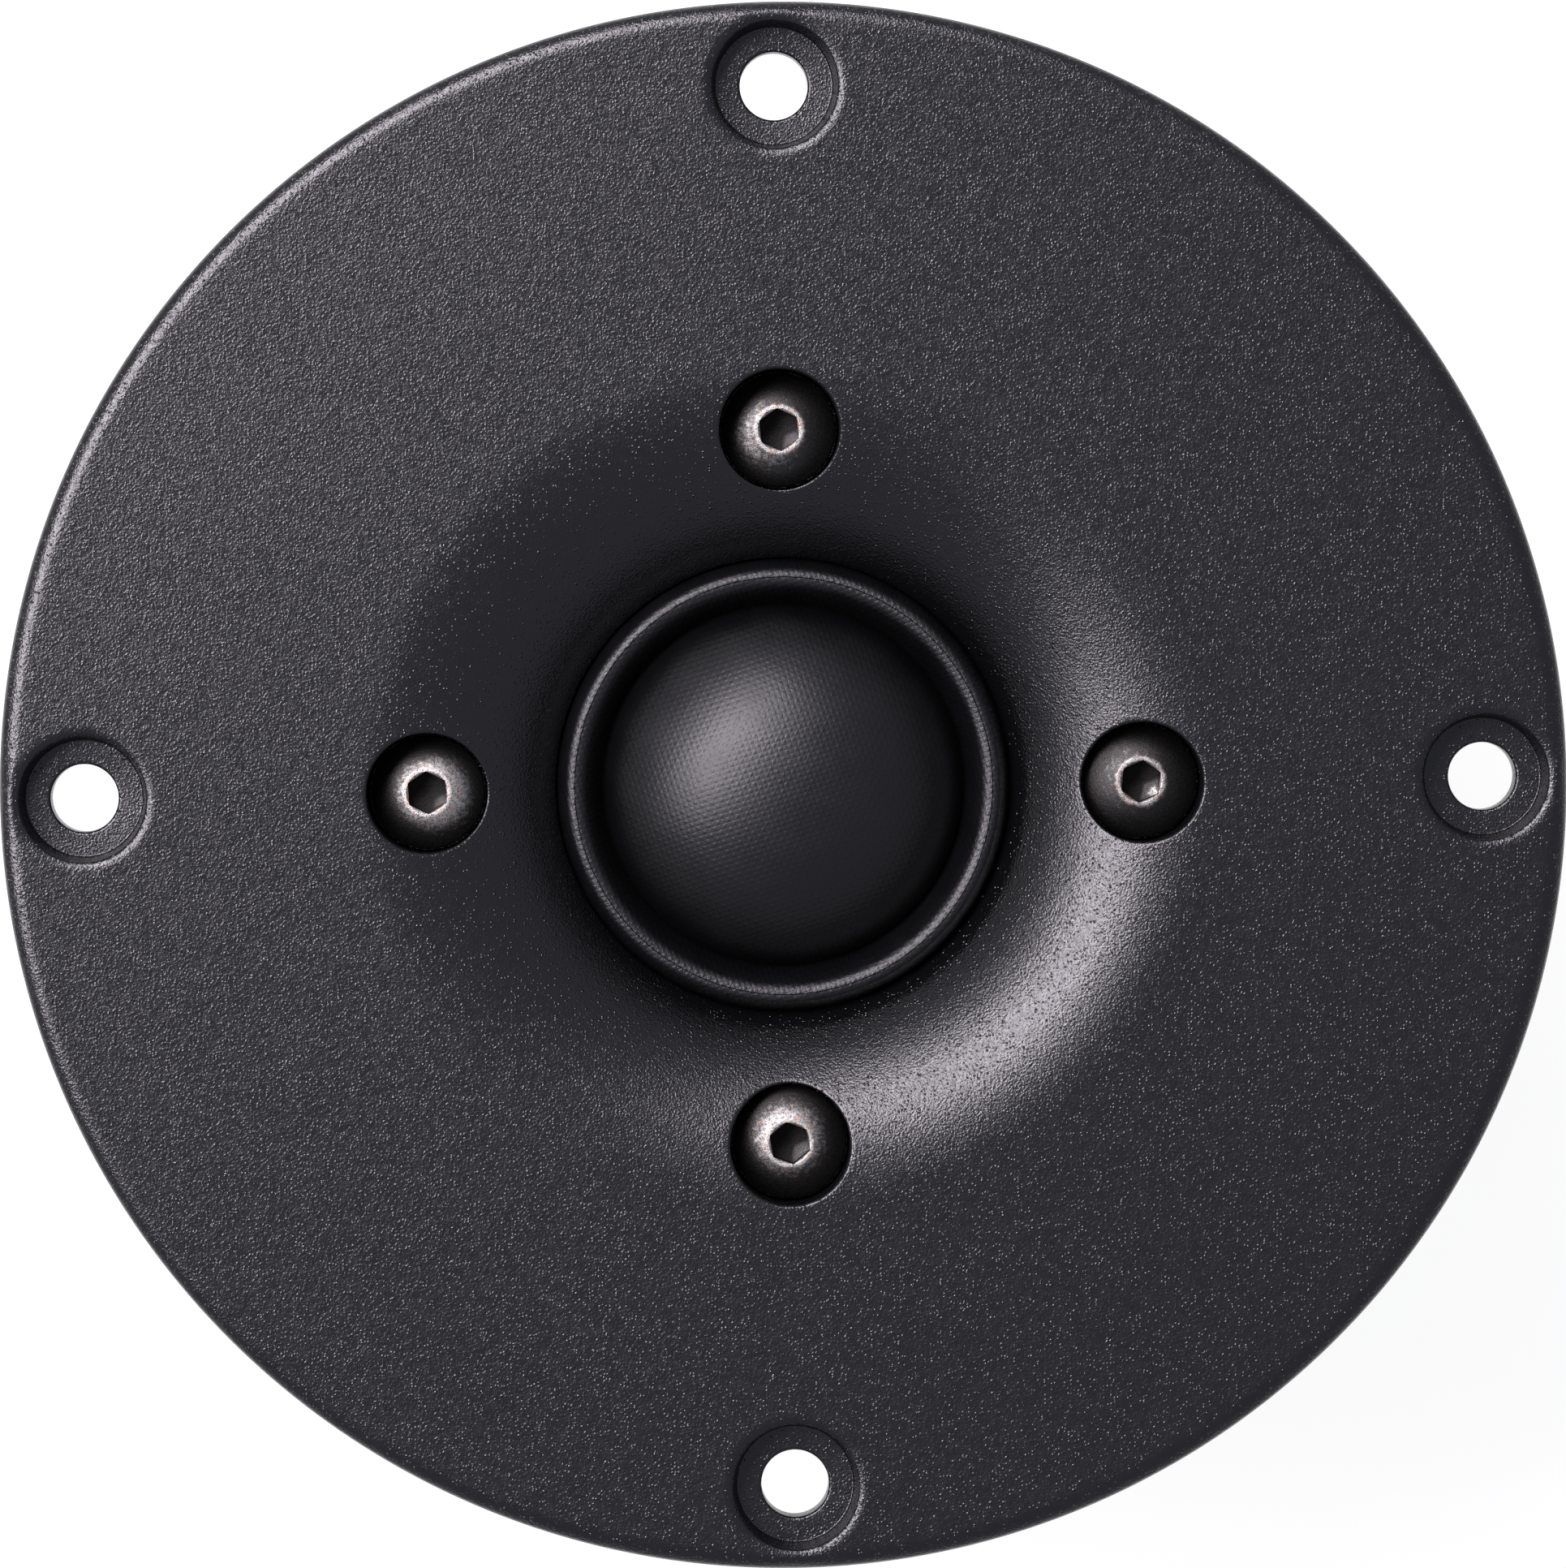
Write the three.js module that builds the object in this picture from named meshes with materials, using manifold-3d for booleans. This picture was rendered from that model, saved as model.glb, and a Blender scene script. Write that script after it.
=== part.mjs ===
// Flanged 25 mm soft-dome tweeter: a round cast faceplate with a short waveguide, a textile dome on a
// voice coil, a ferrite ring motor with a vented pole, and a damped chamber behind it.
//
// Millimetres. +Z is the acoustic axis and points out of the front, +Y is up and +X is right as seen from
// the front. The origin is the centre of the rear cup's flat bottom, so the tweeter stands on Z = 0.

import * as THREE from 'three';
import { mergeVertices } from 'three/addons/utils/BufferGeometryUtils.js';
import Module from 'manifold-3d';

const wasm = await Module();
wasm.setup();

// ---------------------------------------------------------------- heights, from the back to the front
const CUP_HEIGHT = 12.6;
const CUP_SEAL_THICKNESS = 0.8;
const BACK_PLATE_THICKNESS = 5;
const MAGNET_THICKNESS = 15;
const TOP_PLATE_THICKNESS = 4;
const CARRIER_THICKNESS = 2;
const TEXTILE_THICKNESS = 0.3;

const BACK_PLATE_Z = CUP_HEIGHT + CUP_SEAL_THICKNESS;
const MAGNET_Z = BACK_PLATE_Z + BACK_PLATE_THICKNESS;
const TOP_PLATE_Z = MAGNET_Z + MAGNET_THICKNESS;
const MOTOR_FRONT_Z = TOP_PLATE_Z + TOP_PLATE_THICKNESS;
const CARRIER_FRONT_Z = MOTOR_FRONT_Z + CARRIER_THICKNESS;
const CLAMP_Z = CARRIER_FRONT_Z + TEXTILE_THICKNESS;
const FACE_Z = 46;
const FLANGE_REAR_Z = 42;
const GASKET_REAR_Z = 41;

// ---------------------------------------------------------------- faceplate
const FLANGE_RADIUS = 52;
const RIM_FILLET = 1;
const RIM_CHAMFER = 0.5;
const BOSS_RADIUS = 36;
const THROAT_RADIUS = 15.3;
const MOUTH_RADIUS = 28;
const WAVEGUIDE_RADIUS = 16.5;
const CARRIER_POCKET_RADIUS = 20.3;

const MOUNTING_CIRCLE_RADIUS = 46.5;
const MOUNTING_HOLE_RADIUS = 2.25;
const MOUNTING_RECESS_DEPTH = 2;
const MOUNTING_RECESS_FLOOR_RADIUS = 3.9;
const MOUNTING_RECESS_WALL_RADIUS = 4.2;
const MOUNTING_RECESS_LIP_RADIUS = 4.8;
const MOUNTING_RECESS_LIP_DEPTH = 0.25;

const SCREW_CIRCLE_RADIUS = 23.75;
const SCREW_CLEARANCE_RADIUS = 2.2;
const COUNTERBORE_RADIUS = 4;
const SCREW_SEAT_Z = 41.8;

// ---------------------------------------------------------------- M4 x 8 button-head screws
const SCREW_LENGTH = 8;
const SCREW_SHANK_RADIUS = 1.95;
const SCREW_POINT_CHAMFER = 0.4;
const SCREW_HEAD_RADIUS = 3.8;
const SCREW_HEAD_HEIGHT = 2.2;
const SCREW_CROWN_RADIUS = 5;
const SCREW_TOP_RADIUS = 1.6;
const SOCKET_ACROSS_FLATS = 2.5;
const SOCKET_DEPTH = 1.4;
const TAPPED_HOLE_RADIUS = 2.1;

// ---------------------------------------------------------------- gasket
const GASKET_INNER_RADIUS = 42.8;
const GASKET_OUTER_RADIUS = 51.2;
const GASKET_HOLE_RADIUS = 2.6;

// ---------------------------------------------------------------- diaphragm and voice coil
const DOME_RADIUS = 12.75;
const DOME_RISE = 9.6;
const DOME_CENTRE_Z = 36.34;
const DOME_JOINT_RADIUS = 12.15;
const DOME_RIM_RADIUS = 12.75;
const DOME_RIM_Z = 39;
const DOME_RIM_THICKNESS = 0.25;
const ROLL_CENTRE_RADIUS = 13.93;
const ROLL_HALF_WIDTH = 1.12;
const ROLL_HEIGHT = 2;
const SURROUND_FLANGE_RADIUS = 18;
const FORMER_INNER_RADIUS = 12.5;
const FORMER_OUTER_RADIUS = 12.65;
const FORMER_BOTTOM_Z = 33.9;
const WINDING_INNER_RADIUS = 12.7;
const WINDING_OUTER_RADIUS = 13.05;
const WINDING_BOTTOM_Z = 34.1;
const WINDING_TOP_Z = 36.7;

// ---------------------------------------------------------------- diaphragm carrier and terminals
const CARRIER_INNER_RADIUS = 15.3;
const CARRIER_OUTER_RADIUS = 20;
const ARM_ANGLE = THREE.MathUtils.degToRad(225);
const ARM_WIDTH = 16;
const ARM_START = 17.5;
const ARM_END = 41;
const CHANNEL_WIDTH = 18;
const CHANNEL_START = 18.1;
const CHANNEL_ROOF_Z = 40.9;
const LEAD_OFFSET = 4;
// Distance from the axis and height of each point that a lead passes.
const LEAD_ROUTE = [
  [12.75, 38.3],
  [13.5, 38],
  [14.6, 38.55],
  [15.8, 38.85],
  [17.6, 38.85],
  [18.8, 39.15],
  [19.5, 40.05],
  [20.1, 40.45],
];
const LEAD_RADIUS = 0.25;
const LEAD_STEPS = 14;
const LEAD_SLOT_WIDTH = 1.4;
const LEAD_SLOT_START = 13.5;
const LEAD_SLOT_END = 19.8;
const LEAD_SLOT_DEPTH = 1;
const STRIP_START = 20.4;
const STRIP_THICKNESS = 0.8;
const STRIP_BEND_RADIUS = 0.3;
const BLADE_INNER = 41.2;
const BLADE_TIP_Z = 28;
const BLADE_TIP_TAPER = 0.25;
const BLADE_HOLE_RADIUS = 0.65;
const BLADE_HOLE_Z = 30.6;
const POSITIVE_WIDTH = 4.8;
const NEGATIVE_WIDTH = 2.8;
const RIVET_CENTRE = 38.2;
const RIVET_HOLE_RADIUS = 1;
const RIVET_SHANK_RADIUS = 0.8;
const RIVET_HEAD_RADIUS = 1.35;
const RIVET_HEAD_HEIGHT = 0.5;
const RIVET_HEAD_CHAMFER = 0.15;
const SOLDER_CENTRE = 21.5;
const SOLDER_RADIUS = 1;
const SOLDER_HEIGHT = 0.5;

// ---------------------------------------------------------------- motor
const TOP_PLATE_BORE_RADIUS = 13.4;
const MAGNET_INNER_RADIUS = 16.5;
const MAGNET_CHAMFER = 0.7;
const BACK_PLATE_RADIUS = 34;
const BACK_PLATE_BORE_RADIUS = 11;
const PLATE_CHAMFER = 0.6;
const POLE_RADIUS = 12.1;
const POLE_SPIGOT_RADIUS = 10.9;
const POLE_TIP_RADIUS = 11.8;
const POLE_TIP_Z = 33;
const POLE_TOP_Z = 37.9;
const VENT_RADIUS = 4.5;
const VENT_MOUTH_RADIUS = 7;
const VENT_FLARE_DEPTH = 3;
const CAP_INNER_RADIUS = 11.87;
const CAP_OUTER_RADIUS = 12.15;
const PAD_INNER_RADIUS = 7.5;
const PAD_OUTER_RADIUS = 11;
const PAD_THICKNESS = 1.5;

// ---------------------------------------------------------------- rear chamber
const CUP_RADIUS = 28;
const CUP_WALL = 1.8;
const CUP_FLOOR = 2;
const CUP_FILLET = 2;
const SEAL_INNER_RADIUS = 24.5;
const FOAM_RADIUS = 25.5;
const FOAM_BOTTOM_Z = 2.3;
const FOAM_TOP_Z = 10;

// ---------------------------------------------------------------- sides of the turned shapes
const FLANGE_SIDES = 48;
const MOTOR_SIDES = 40;
const COIL_SIDES = 32;
const SCREW_SIDES = 16;
const SMALL_SIDES = 12;
const LEAD_SIDES = 8;

// ---------------------------------------------------------------- shape tools

// One corner of a turned profile or a flat outline.
function corner(across, up) {
  return new THREE.Vector2(across, up);
}

// Corners along an elliptical arc; angles in degrees from the first axis towards the second.
function arc(centreAcross, centreUp, radiusAcross, radiusUp, from, to, steps) {
  const corners = [];
  for (let i = 0; i <= steps; i += 1) {
    const angle = THREE.MathUtils.degToRad(from + (to - from) * i / steps);
    const across = centreAcross + radiusAcross * Math.cos(angle);
    const up = centreUp + radiusUp * Math.sin(angle);
    corners.push(corner(across, up));
  }
  return corners;
}

// A solid of revolution about +Z. The profile runs anticlockwise, radius to the right and Z up, and
// either starts and ends on the axis or closes on itself.
function turned(profile, sides) {
  return new THREE.LatheGeometry(profile, sides).rotateX(Math.PI / 2);
}

function turnedRing(profile, sides) {
  return turned([...profile, profile[0].clone()], sides);
}

// A plain ring or washer of rectangular section.
function ring(innerRadius, outerRadius, bottom, top, sides) {
  return turnedRing([
    corner(innerRadius, bottom),
    corner(outerRadius, bottom),
    corner(outerRadius, top),
    corner(innerRadius, top),
  ], sides);
}

// A round bar along +Z.
function bar(radius, bottom, top, sides) {
  return turned([corner(0, bottom), corner(radius, bottom), corner(radius, top), corner(0, top)], sides);
}

// An outline in X and Y made thick along +Z.
function prism(outline, bottom, top) {
  const shape = new THREE.Shape(outline);
  const geometry = new THREE.ExtrudeGeometry(shape, { depth: top - bottom, bevelEnabled: false });
  return geometry.translate(0, 0, bottom);
}

// A block in the terminal arm's own direction: +X outwards along the arm, centred on Y = middle.
function armBlock(start, end, middle, width, bottom, top) {
  const geometry = new THREE.BoxGeometry(end - start, width, top - bottom);
  return geometry.translate((start + end) / 2, middle, (bottom + top) / 2);
}

// A closed surface as a solid that can be joined and cut.
function solid(geometry) {
  const bare = geometry.clone();
  bare.deleteAttribute('normal');
  bare.deleteAttribute('uv');
  const merged = mergeVertices(bare);
  const index = merged.index.array;
  const triangles = [];
  for (let i = 0; i < index.length; i += 3) {
    const [a, b, c] = [index[i], index[i + 1], index[i + 2]];
    if (a !== b && b !== c && c !== a) {
      triangles.push(a, b, c);
    }
  }
  return new wasm.Manifold(new wasm.Mesh({
    numProp: 3,
    vertProperties: merged.attributes.position.array,
    triVerts: new Uint32Array(triangles),
  }));
}

// The surface of a joined and cut solid.
function surface(body) {
  const mesh = body.getMesh();
  const geometry = new THREE.BufferGeometry();
  geometry.setAttribute('position', new THREE.BufferAttribute(new Float32Array(mesh.vertProperties), 3));
  geometry.setIndex(new THREE.BufferAttribute(new Uint32Array(mesh.triVerts), 1));
  geometry.computeVertexNormals();
  return geometry;
}

// The body with every tool taken away from it.
function cut(geometry, tools) {
  let body = solid(geometry);
  for (const tool of tools) {
    body = body.subtract(solid(tool));
  }
  return surface(body);
}

// The same tool at the four quarter points of a circle.
function atQuarters(makeTool, circleRadius) {
  const tools = [];
  for (let quarter = 0; quarter < 4; quarter += 1) {
    const angle = quarter * Math.PI / 2;
    tools.push(makeTool().translate(circleRadius * Math.cos(angle), circleRadius * Math.sin(angle), 0));
  }
  return tools;
}

function material(color, roughness, metalness) {
  return new THREE.MeshStandardMaterial({ color, roughness, metalness });
}

const powderCoat = material(0x3a3a3f, 0.6, 0.1);
const blackOxide = material(0x2e2c2b, 0.35, 0.8);
const coatedTextile = material(0x17171a, 0.55, 0);
const zincSteel = material(0xa9a8a2, 0.35, 0.9);
const ferrite = material(0x2b2b2e, 0.55, 0.1);
const blackPlastic = material(0x1b1b1d, 0.5, 0);
const tinnedBrass = material(0xc9b26a, 0.3, 1);
const solderAlloy = material(0xb9bbbe, 0.3, 0.9);
const copper = material(0xb56a45, 0.35, 1);
const coilForm = material(0xb98b4a, 0.45, 0.1);
const foamRubber = material(0x242426, 0.95, 0);
const greyFelt = material(0x6f6f70, 0.95, 0);

const tweeter = new THREE.Group();

function add(name, geometry, finish, parent = tweeter) {
  const mesh = new THREE.Mesh(geometry, finish);
  mesh.name = name;
  parent.add(mesh);
  return mesh;
}

// ---------------------------------------------------------------- faceplate

// Through hole and rounded recess for one mounting screw, as the tool that cuts them.
function mountingHoleTool() {
  const recessZ = FACE_Z - MOUNTING_RECESS_DEPTH;
  const lipZ = FACE_Z - MOUNTING_RECESS_LIP_DEPTH;
  return turned([
    corner(0, FLANGE_REAR_Z - 1),
    corner(MOUNTING_HOLE_RADIUS, FLANGE_REAR_Z - 1),
    corner(MOUNTING_HOLE_RADIUS, recessZ),
    corner(MOUNTING_RECESS_FLOOR_RADIUS, recessZ),
    corner(MOUNTING_RECESS_WALL_RADIUS, lipZ),
    corner(MOUNTING_RECESS_LIP_RADIUS, FACE_Z),
    corner(MOUNTING_RECESS_LIP_RADIUS, FACE_Z + 1),
    corner(0, FACE_Z + 1),
  ], SCREW_SIDES);
}

// Clearance hole and counterbore for one faceplate screw.
function screwHoleTool() {
  return turned([
    corner(0, MOTOR_FRONT_Z - 1),
    corner(SCREW_CLEARANCE_RADIUS, MOTOR_FRONT_Z - 1),
    corner(SCREW_CLEARANCE_RADIUS, SCREW_SEAT_Z),
    corner(COUNTERBORE_RADIUS, SCREW_SEAT_Z),
    corner(COUNTERBORE_RADIUS, FACE_Z + 1),
    corner(0, FACE_Z + 1),
  ], SCREW_SIDES);
}

// The waveguide's section is a circular arc: it leaves the flat face level and steepens to the throat.
function waveguideArc() {
  const throatCosine = (THROAT_RADIUS - MOUTH_RADIUS) / WAVEGUIDE_RADIUS;
  const throatAngle = THREE.MathUtils.radToDeg(Math.acos(throatCosine));
  const centreZ = FACE_Z - WAVEGUIDE_RADIUS;
  return arc(MOUTH_RADIUS, centreZ, WAVEGUIDE_RADIUS, WAVEGUIDE_RADIUS, 90, throatAngle, 8);
}

function faceplate() {
  const filletRadius = FLANGE_RADIUS - RIM_FILLET;
  const plate = turnedRing([
    corner(CARRIER_POCKET_RADIUS, MOTOR_FRONT_Z),
    corner(BOSS_RADIUS, MOTOR_FRONT_Z),
    corner(BOSS_RADIUS, FLANGE_REAR_Z),
    corner(FLANGE_RADIUS - RIM_CHAMFER, FLANGE_REAR_Z),
    corner(FLANGE_RADIUS, FLANGE_REAR_Z + RIM_CHAMFER),
    ...arc(filletRadius, FACE_Z - RIM_FILLET, RIM_FILLET, RIM_FILLET, 0, 90, 3),
    ...waveguideArc(),
    corner(THROAT_RADIUS, CLAMP_Z),
    corner(CARRIER_POCKET_RADIUS, CLAMP_Z),
  ], FLANGE_SIDES);
  const channelEnd = BOSS_RADIUS + 1;
  const channelFloor = MOTOR_FRONT_Z - 1;
  const channel = armBlock(CHANNEL_START, channelEnd, 0, CHANNEL_WIDTH, channelFloor, CHANNEL_ROOF_Z);
  return cut(plate, [
    ...atQuarters(mountingHoleTool, MOUNTING_CIRCLE_RADIUS),
    ...atQuarters(screwHoleTool, SCREW_CIRCLE_RADIUS),
    channel.rotateZ(ARM_ANGLE),
  ]);
}

function mountingGasket() {
  const hole = () => bar(GASKET_HOLE_RADIUS, GASKET_REAR_Z - 1, FLANGE_REAR_Z + 1, SCREW_SIDES);
  const strip = ring(GASKET_INNER_RADIUS, GASKET_OUTER_RADIUS, GASKET_REAR_Z, FLANGE_REAR_Z, FLANGE_SIDES);
  return cut(strip, atQuarters(hole, MOUNTING_CIRCLE_RADIUS));
}

add('faceplate', faceplate(), powderCoat);
add('mounting_gasket', mountingGasket(), foamRubber);

// ---------------------------------------------------------------- faceplate screws

// Button-head cap screw on its own axis, with the hexagon socket turned by socketAngle degrees.
function buttonHeadScrew(socketAngle) {
  const headTop = SCREW_SEAT_Z + SCREW_HEAD_HEIGHT;
  const crownStart = THREE.MathUtils.radToDeg(Math.acos(SCREW_HEAD_RADIUS / SCREW_CROWN_RADIUS));
  const crownEnd = THREE.MathUtils.radToDeg(Math.acos(SCREW_TOP_RADIUS / SCREW_CROWN_RADIUS));
  const crownCentreZ = headTop - Math.sqrt(SCREW_CROWN_RADIUS ** 2 - SCREW_TOP_RADIUS ** 2);
  const shankEnd = SCREW_SEAT_Z - SCREW_LENGTH;
  const blank = turned([
    corner(0, shankEnd),
    corner(SCREW_SHANK_RADIUS - SCREW_POINT_CHAMFER, shankEnd),
    corner(SCREW_SHANK_RADIUS, shankEnd + SCREW_POINT_CHAMFER),
    corner(SCREW_SHANK_RADIUS, SCREW_SEAT_Z),
    corner(SCREW_HEAD_RADIUS, SCREW_SEAT_Z),
    ...arc(0, crownCentreZ, SCREW_CROWN_RADIUS, SCREW_CROWN_RADIUS, crownStart, crownEnd, 5),
    corner(0, headTop),
  ], SCREW_SIDES);
  const cornerRadius = SOCKET_ACROSS_FLATS / 2 / Math.cos(Math.PI / 6);
  const hexagon = arc(0, 0, cornerRadius, cornerRadius, 30 + socketAngle, 330 + socketAngle, 5);
  return cut(blank, [prism(hexagon, headTop - SOCKET_DEPTH, headTop + 1)]);
}

function addFaceplateScrews() {
  const screws = [
    { name: 'right', angle: 0, socketAngle: -7 },
    { name: 'top', angle: 90, socketAngle: 5 },
    { name: 'left', angle: 180, socketAngle: 3 },
    { name: 'bottom', angle: 270, socketAngle: 9 },
  ];
  for (const screw of screws) {
    const turn = THREE.MathUtils.degToRad(screw.angle);
    const mesh = add(`faceplate_screw_${screw.name}`, buttonHeadScrew(screw.socketAngle), blackOxide);
    mesh.position.set(SCREW_CIRCLE_RADIUS * Math.cos(turn), SCREW_CIRCLE_RADIUS * Math.sin(turn), 0);
  }
}

addFaceplateScrews();

// ---------------------------------------------------------------- diaphragm and voice coil

// Half-ellipse shell with a short seat that is glued to the top of the coil former.
function dome() {
  const innerRadius = DOME_RADIUS - TEXTILE_THICKNESS;
  const innerRise = DOME_RISE - TEXTILE_THICKNESS;
  const innerJoint = DOME_JOINT_RADIUS - TEXTILE_THICKNESS;
  const outerStart = THREE.MathUtils.radToDeg(Math.acos(DOME_JOINT_RADIUS / DOME_RADIUS));
  const innerStart = THREE.MathUtils.radToDeg(Math.acos(innerJoint / innerRadius));
  return turned([
    ...arc(0, DOME_CENTRE_Z, innerRadius, innerRise, 90, innerStart, 6),
    corner(innerJoint, DOME_RIM_Z),
    corner(DOME_RIM_RADIUS, DOME_RIM_Z),
    corner(DOME_RIM_RADIUS, DOME_RIM_Z + DOME_RIM_THICKNESS),
    ...arc(0, DOME_CENTRE_Z, DOME_RADIUS, DOME_RISE, outerStart, 90, 6),
  ], COIL_SIDES);
}

// Tall half-roll suspension with a narrow foot beside the dome's rim and the flat flange that the
// faceplate clamps onto the carrier.
function surround() {
  const innerHalfWidth = ROLL_HALF_WIDTH - TEXTILE_THICKNESS;
  const innerHeight = ROLL_HEIGHT - TEXTILE_THICKNESS;
  return turnedRing([
    corner(ROLL_CENTRE_RADIUS - ROLL_HALF_WIDTH, CARRIER_FRONT_Z),
    corner(ROLL_CENTRE_RADIUS - innerHalfWidth, CARRIER_FRONT_Z),
    ...arc(ROLL_CENTRE_RADIUS, CLAMP_Z, innerHalfWidth, innerHeight, 180, 0, 6),
    corner(ROLL_CENTRE_RADIUS + innerHalfWidth, CARRIER_FRONT_Z),
    corner(SURROUND_FLANGE_RADIUS, CARRIER_FRONT_Z),
    corner(SURROUND_FLANGE_RADIUS, CLAMP_Z),
    ...arc(ROLL_CENTRE_RADIUS, CLAMP_Z, ROLL_HALF_WIDTH, ROLL_HEIGHT, 0, 180, 8),
  ], COIL_SIDES);
}

function voiceCoilFormer() {
  return ring(FORMER_INNER_RADIUS, FORMER_OUTER_RADIUS, FORMER_BOTTOM_Z, DOME_RIM_Z, COIL_SIDES);
}

function voiceCoilWinding() {
  return ring(WINDING_INNER_RADIUS, WINDING_OUTER_RADIUS, WINDING_BOTTOM_Z, WINDING_TOP_Z, COIL_SIDES);
}

add('dome', dome(), coatedTextile);
add('surround', surround(), coatedTextile);
add('voice_coil_former', voiceCoilFormer(), coilForm);
add('voice_coil_winding', voiceCoilWinding(), copper);

// ---------------------------------------------------------------- diaphragm carrier and terminals

// Moulded ring that centres the diaphragm on the top plate, with an arm out to the terminals.
function diaphragmFrame() {
  const bottom = MOTOR_FRONT_Z;
  const top = CARRIER_FRONT_Z;
  const carrier = ring(CARRIER_INNER_RADIUS, CARRIER_OUTER_RADIUS, bottom, top, MOTOR_SIDES);
  const arm = armBlock(ARM_START, ARM_END, 0, ARM_WIDTH, bottom, top).rotateZ(ARM_ANGLE);
  const joined = surface(solid(carrier).add(solid(arm)));
  const slotFloor = top - LEAD_SLOT_DEPTH;
  const tools = [];
  for (const side of [1, -1]) {
    const middle = side * LEAD_OFFSET;
    const slot = armBlock(LEAD_SLOT_START, LEAD_SLOT_END, middle, LEAD_SLOT_WIDTH, slotFloor, top + 1);
    const rivetHole = bar(RIVET_HOLE_RADIUS, bottom - 1, top + 1, SMALL_SIDES);
    tools.push(slot.rotateZ(ARM_ANGLE));
    tools.push(rivetHole.translate(RIVET_CENTRE, middle, 0).rotateZ(ARM_ANGLE));
  }
  return cut(joined, tools);
}

// Flat strip along the arm, bent back at the end into a push-on blade.
function terminal(width, middle) {
  const stripTop = CARRIER_FRONT_Z + STRIP_THICKNESS;
  const bendStart = BLADE_INNER - STRIP_BEND_RADIUS;
  const bendZ = CARRIER_FRONT_Z - STRIP_BEND_RADIUS;
  const outerBend = STRIP_BEND_RADIUS + STRIP_THICKNESS;
  const bladeOuter = BLADE_INNER + STRIP_THICKNESS;
  const sideOutline = [
    corner(STRIP_START, CARRIER_FRONT_Z),
    ...arc(bendStart, bendZ, STRIP_BEND_RADIUS, STRIP_BEND_RADIUS, 90, 0, 2),
    corner(BLADE_INNER, BLADE_TIP_Z + 2 * BLADE_TIP_TAPER),
    corner(BLADE_INNER + BLADE_TIP_TAPER, BLADE_TIP_Z),
    corner(bladeOuter - BLADE_TIP_TAPER, BLADE_TIP_Z),
    corner(bladeOuter, BLADE_TIP_Z + 2 * BLADE_TIP_TAPER),
    ...arc(bendStart, bendZ, outerBend, outerBend, 0, 90, 4),
    corner(STRIP_START, stripTop),
  ];
  const bent = prism(sideOutline, -width / 2, width / 2).rotateX(Math.PI / 2).translate(0, middle, 0);
  const rivetHole = bar(RIVET_HOLE_RADIUS, CARRIER_FRONT_Z - 1, stripTop + 1, SMALL_SIDES);
  const bladeHole = bar(BLADE_HOLE_RADIUS, BLADE_INNER - 1, bladeOuter + 1, SMALL_SIDES);
  return cut(bent, [
    rivetHole.translate(RIVET_CENTRE, middle, 0),
    bladeHole.rotateY(Math.PI / 2).translate(0, middle, BLADE_HOLE_Z),
  ]);
}

// Flat-headed rivet through the strip and the arm.
function terminalRivet() {
  const stripTop = CARRIER_FRONT_Z + STRIP_THICKNESS;
  const headBottom = MOTOR_FRONT_Z - RIVET_HEAD_HEIGHT;
  const headTop = stripTop + RIVET_HEAD_HEIGHT;
  return turned([
    corner(0, headBottom),
    corner(RIVET_HEAD_RADIUS - RIVET_HEAD_CHAMFER, headBottom),
    corner(RIVET_HEAD_RADIUS, headBottom + RIVET_HEAD_CHAMFER),
    corner(RIVET_HEAD_RADIUS, MOTOR_FRONT_Z),
    corner(RIVET_SHANK_RADIUS, MOTOR_FRONT_Z),
    corner(RIVET_SHANK_RADIUS, stripTop),
    corner(RIVET_HEAD_RADIUS, stripTop),
    corner(RIVET_HEAD_RADIUS - RIVET_HEAD_CHAMFER, headTop),
    corner(0, headTop),
  ], SMALL_SIDES);
}

function solderJoint() {
  const stripTop = CARRIER_FRONT_Z + STRIP_THICKNESS;
  return turned([
    corner(0, stripTop),
    ...arc(0, stripTop, SOLDER_RADIUS, SOLDER_HEIGHT, 0, 90, 3),
  ], SMALL_SIDES);
}

// Flexible lead from the former, through its slot under the surround, up to the solder joint.
function leadWire(middle) {
  const points = LEAD_ROUTE.map(([along, z]) => new THREE.Vector3(along, middle, z));
  const route = new THREE.CatmullRomCurve3(points);
  const lastAngle = 360 - 360 / LEAD_SIDES;
  const outline = arc(0, 0, LEAD_RADIUS, LEAD_RADIUS, 0, lastAngle, LEAD_SIDES - 1);
  const options = { extrudePath: route, steps: LEAD_STEPS, bevelEnabled: false };
  return new THREE.ExtrudeGeometry(new THREE.Shape(outline), options);
}

function addTerminals() {
  const arm = new THREE.Group();
  arm.rotation.z = ARM_ANGLE;
  tweeter.add(arm);
  const poles = [
    { name: 'positive', width: POSITIVE_WIDTH, middle: LEAD_OFFSET },
    { name: 'negative', width: NEGATIVE_WIDTH, middle: -LEAD_OFFSET },
  ];
  for (const pole of poles) {
    add(`terminal_${pole.name}`, terminal(pole.width, pole.middle), tinnedBrass, arm);
    const rivet = add(`terminal_rivet_${pole.name}`, terminalRivet(), tinnedBrass, arm);
    rivet.position.set(RIVET_CENTRE, pole.middle, 0);
    const joint = add(`solder_joint_${pole.name}`, solderJoint(), solderAlloy, arm);
    joint.position.set(SOLDER_CENTRE, pole.middle, 0);
    add(`lead_wire_${pole.name}`, leadWire(pole.middle), copper, arm);
  }
}

add('diaphragm_frame', diaphragmFrame(), blackPlastic);
addTerminals();

// ---------------------------------------------------------------- motor

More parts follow.
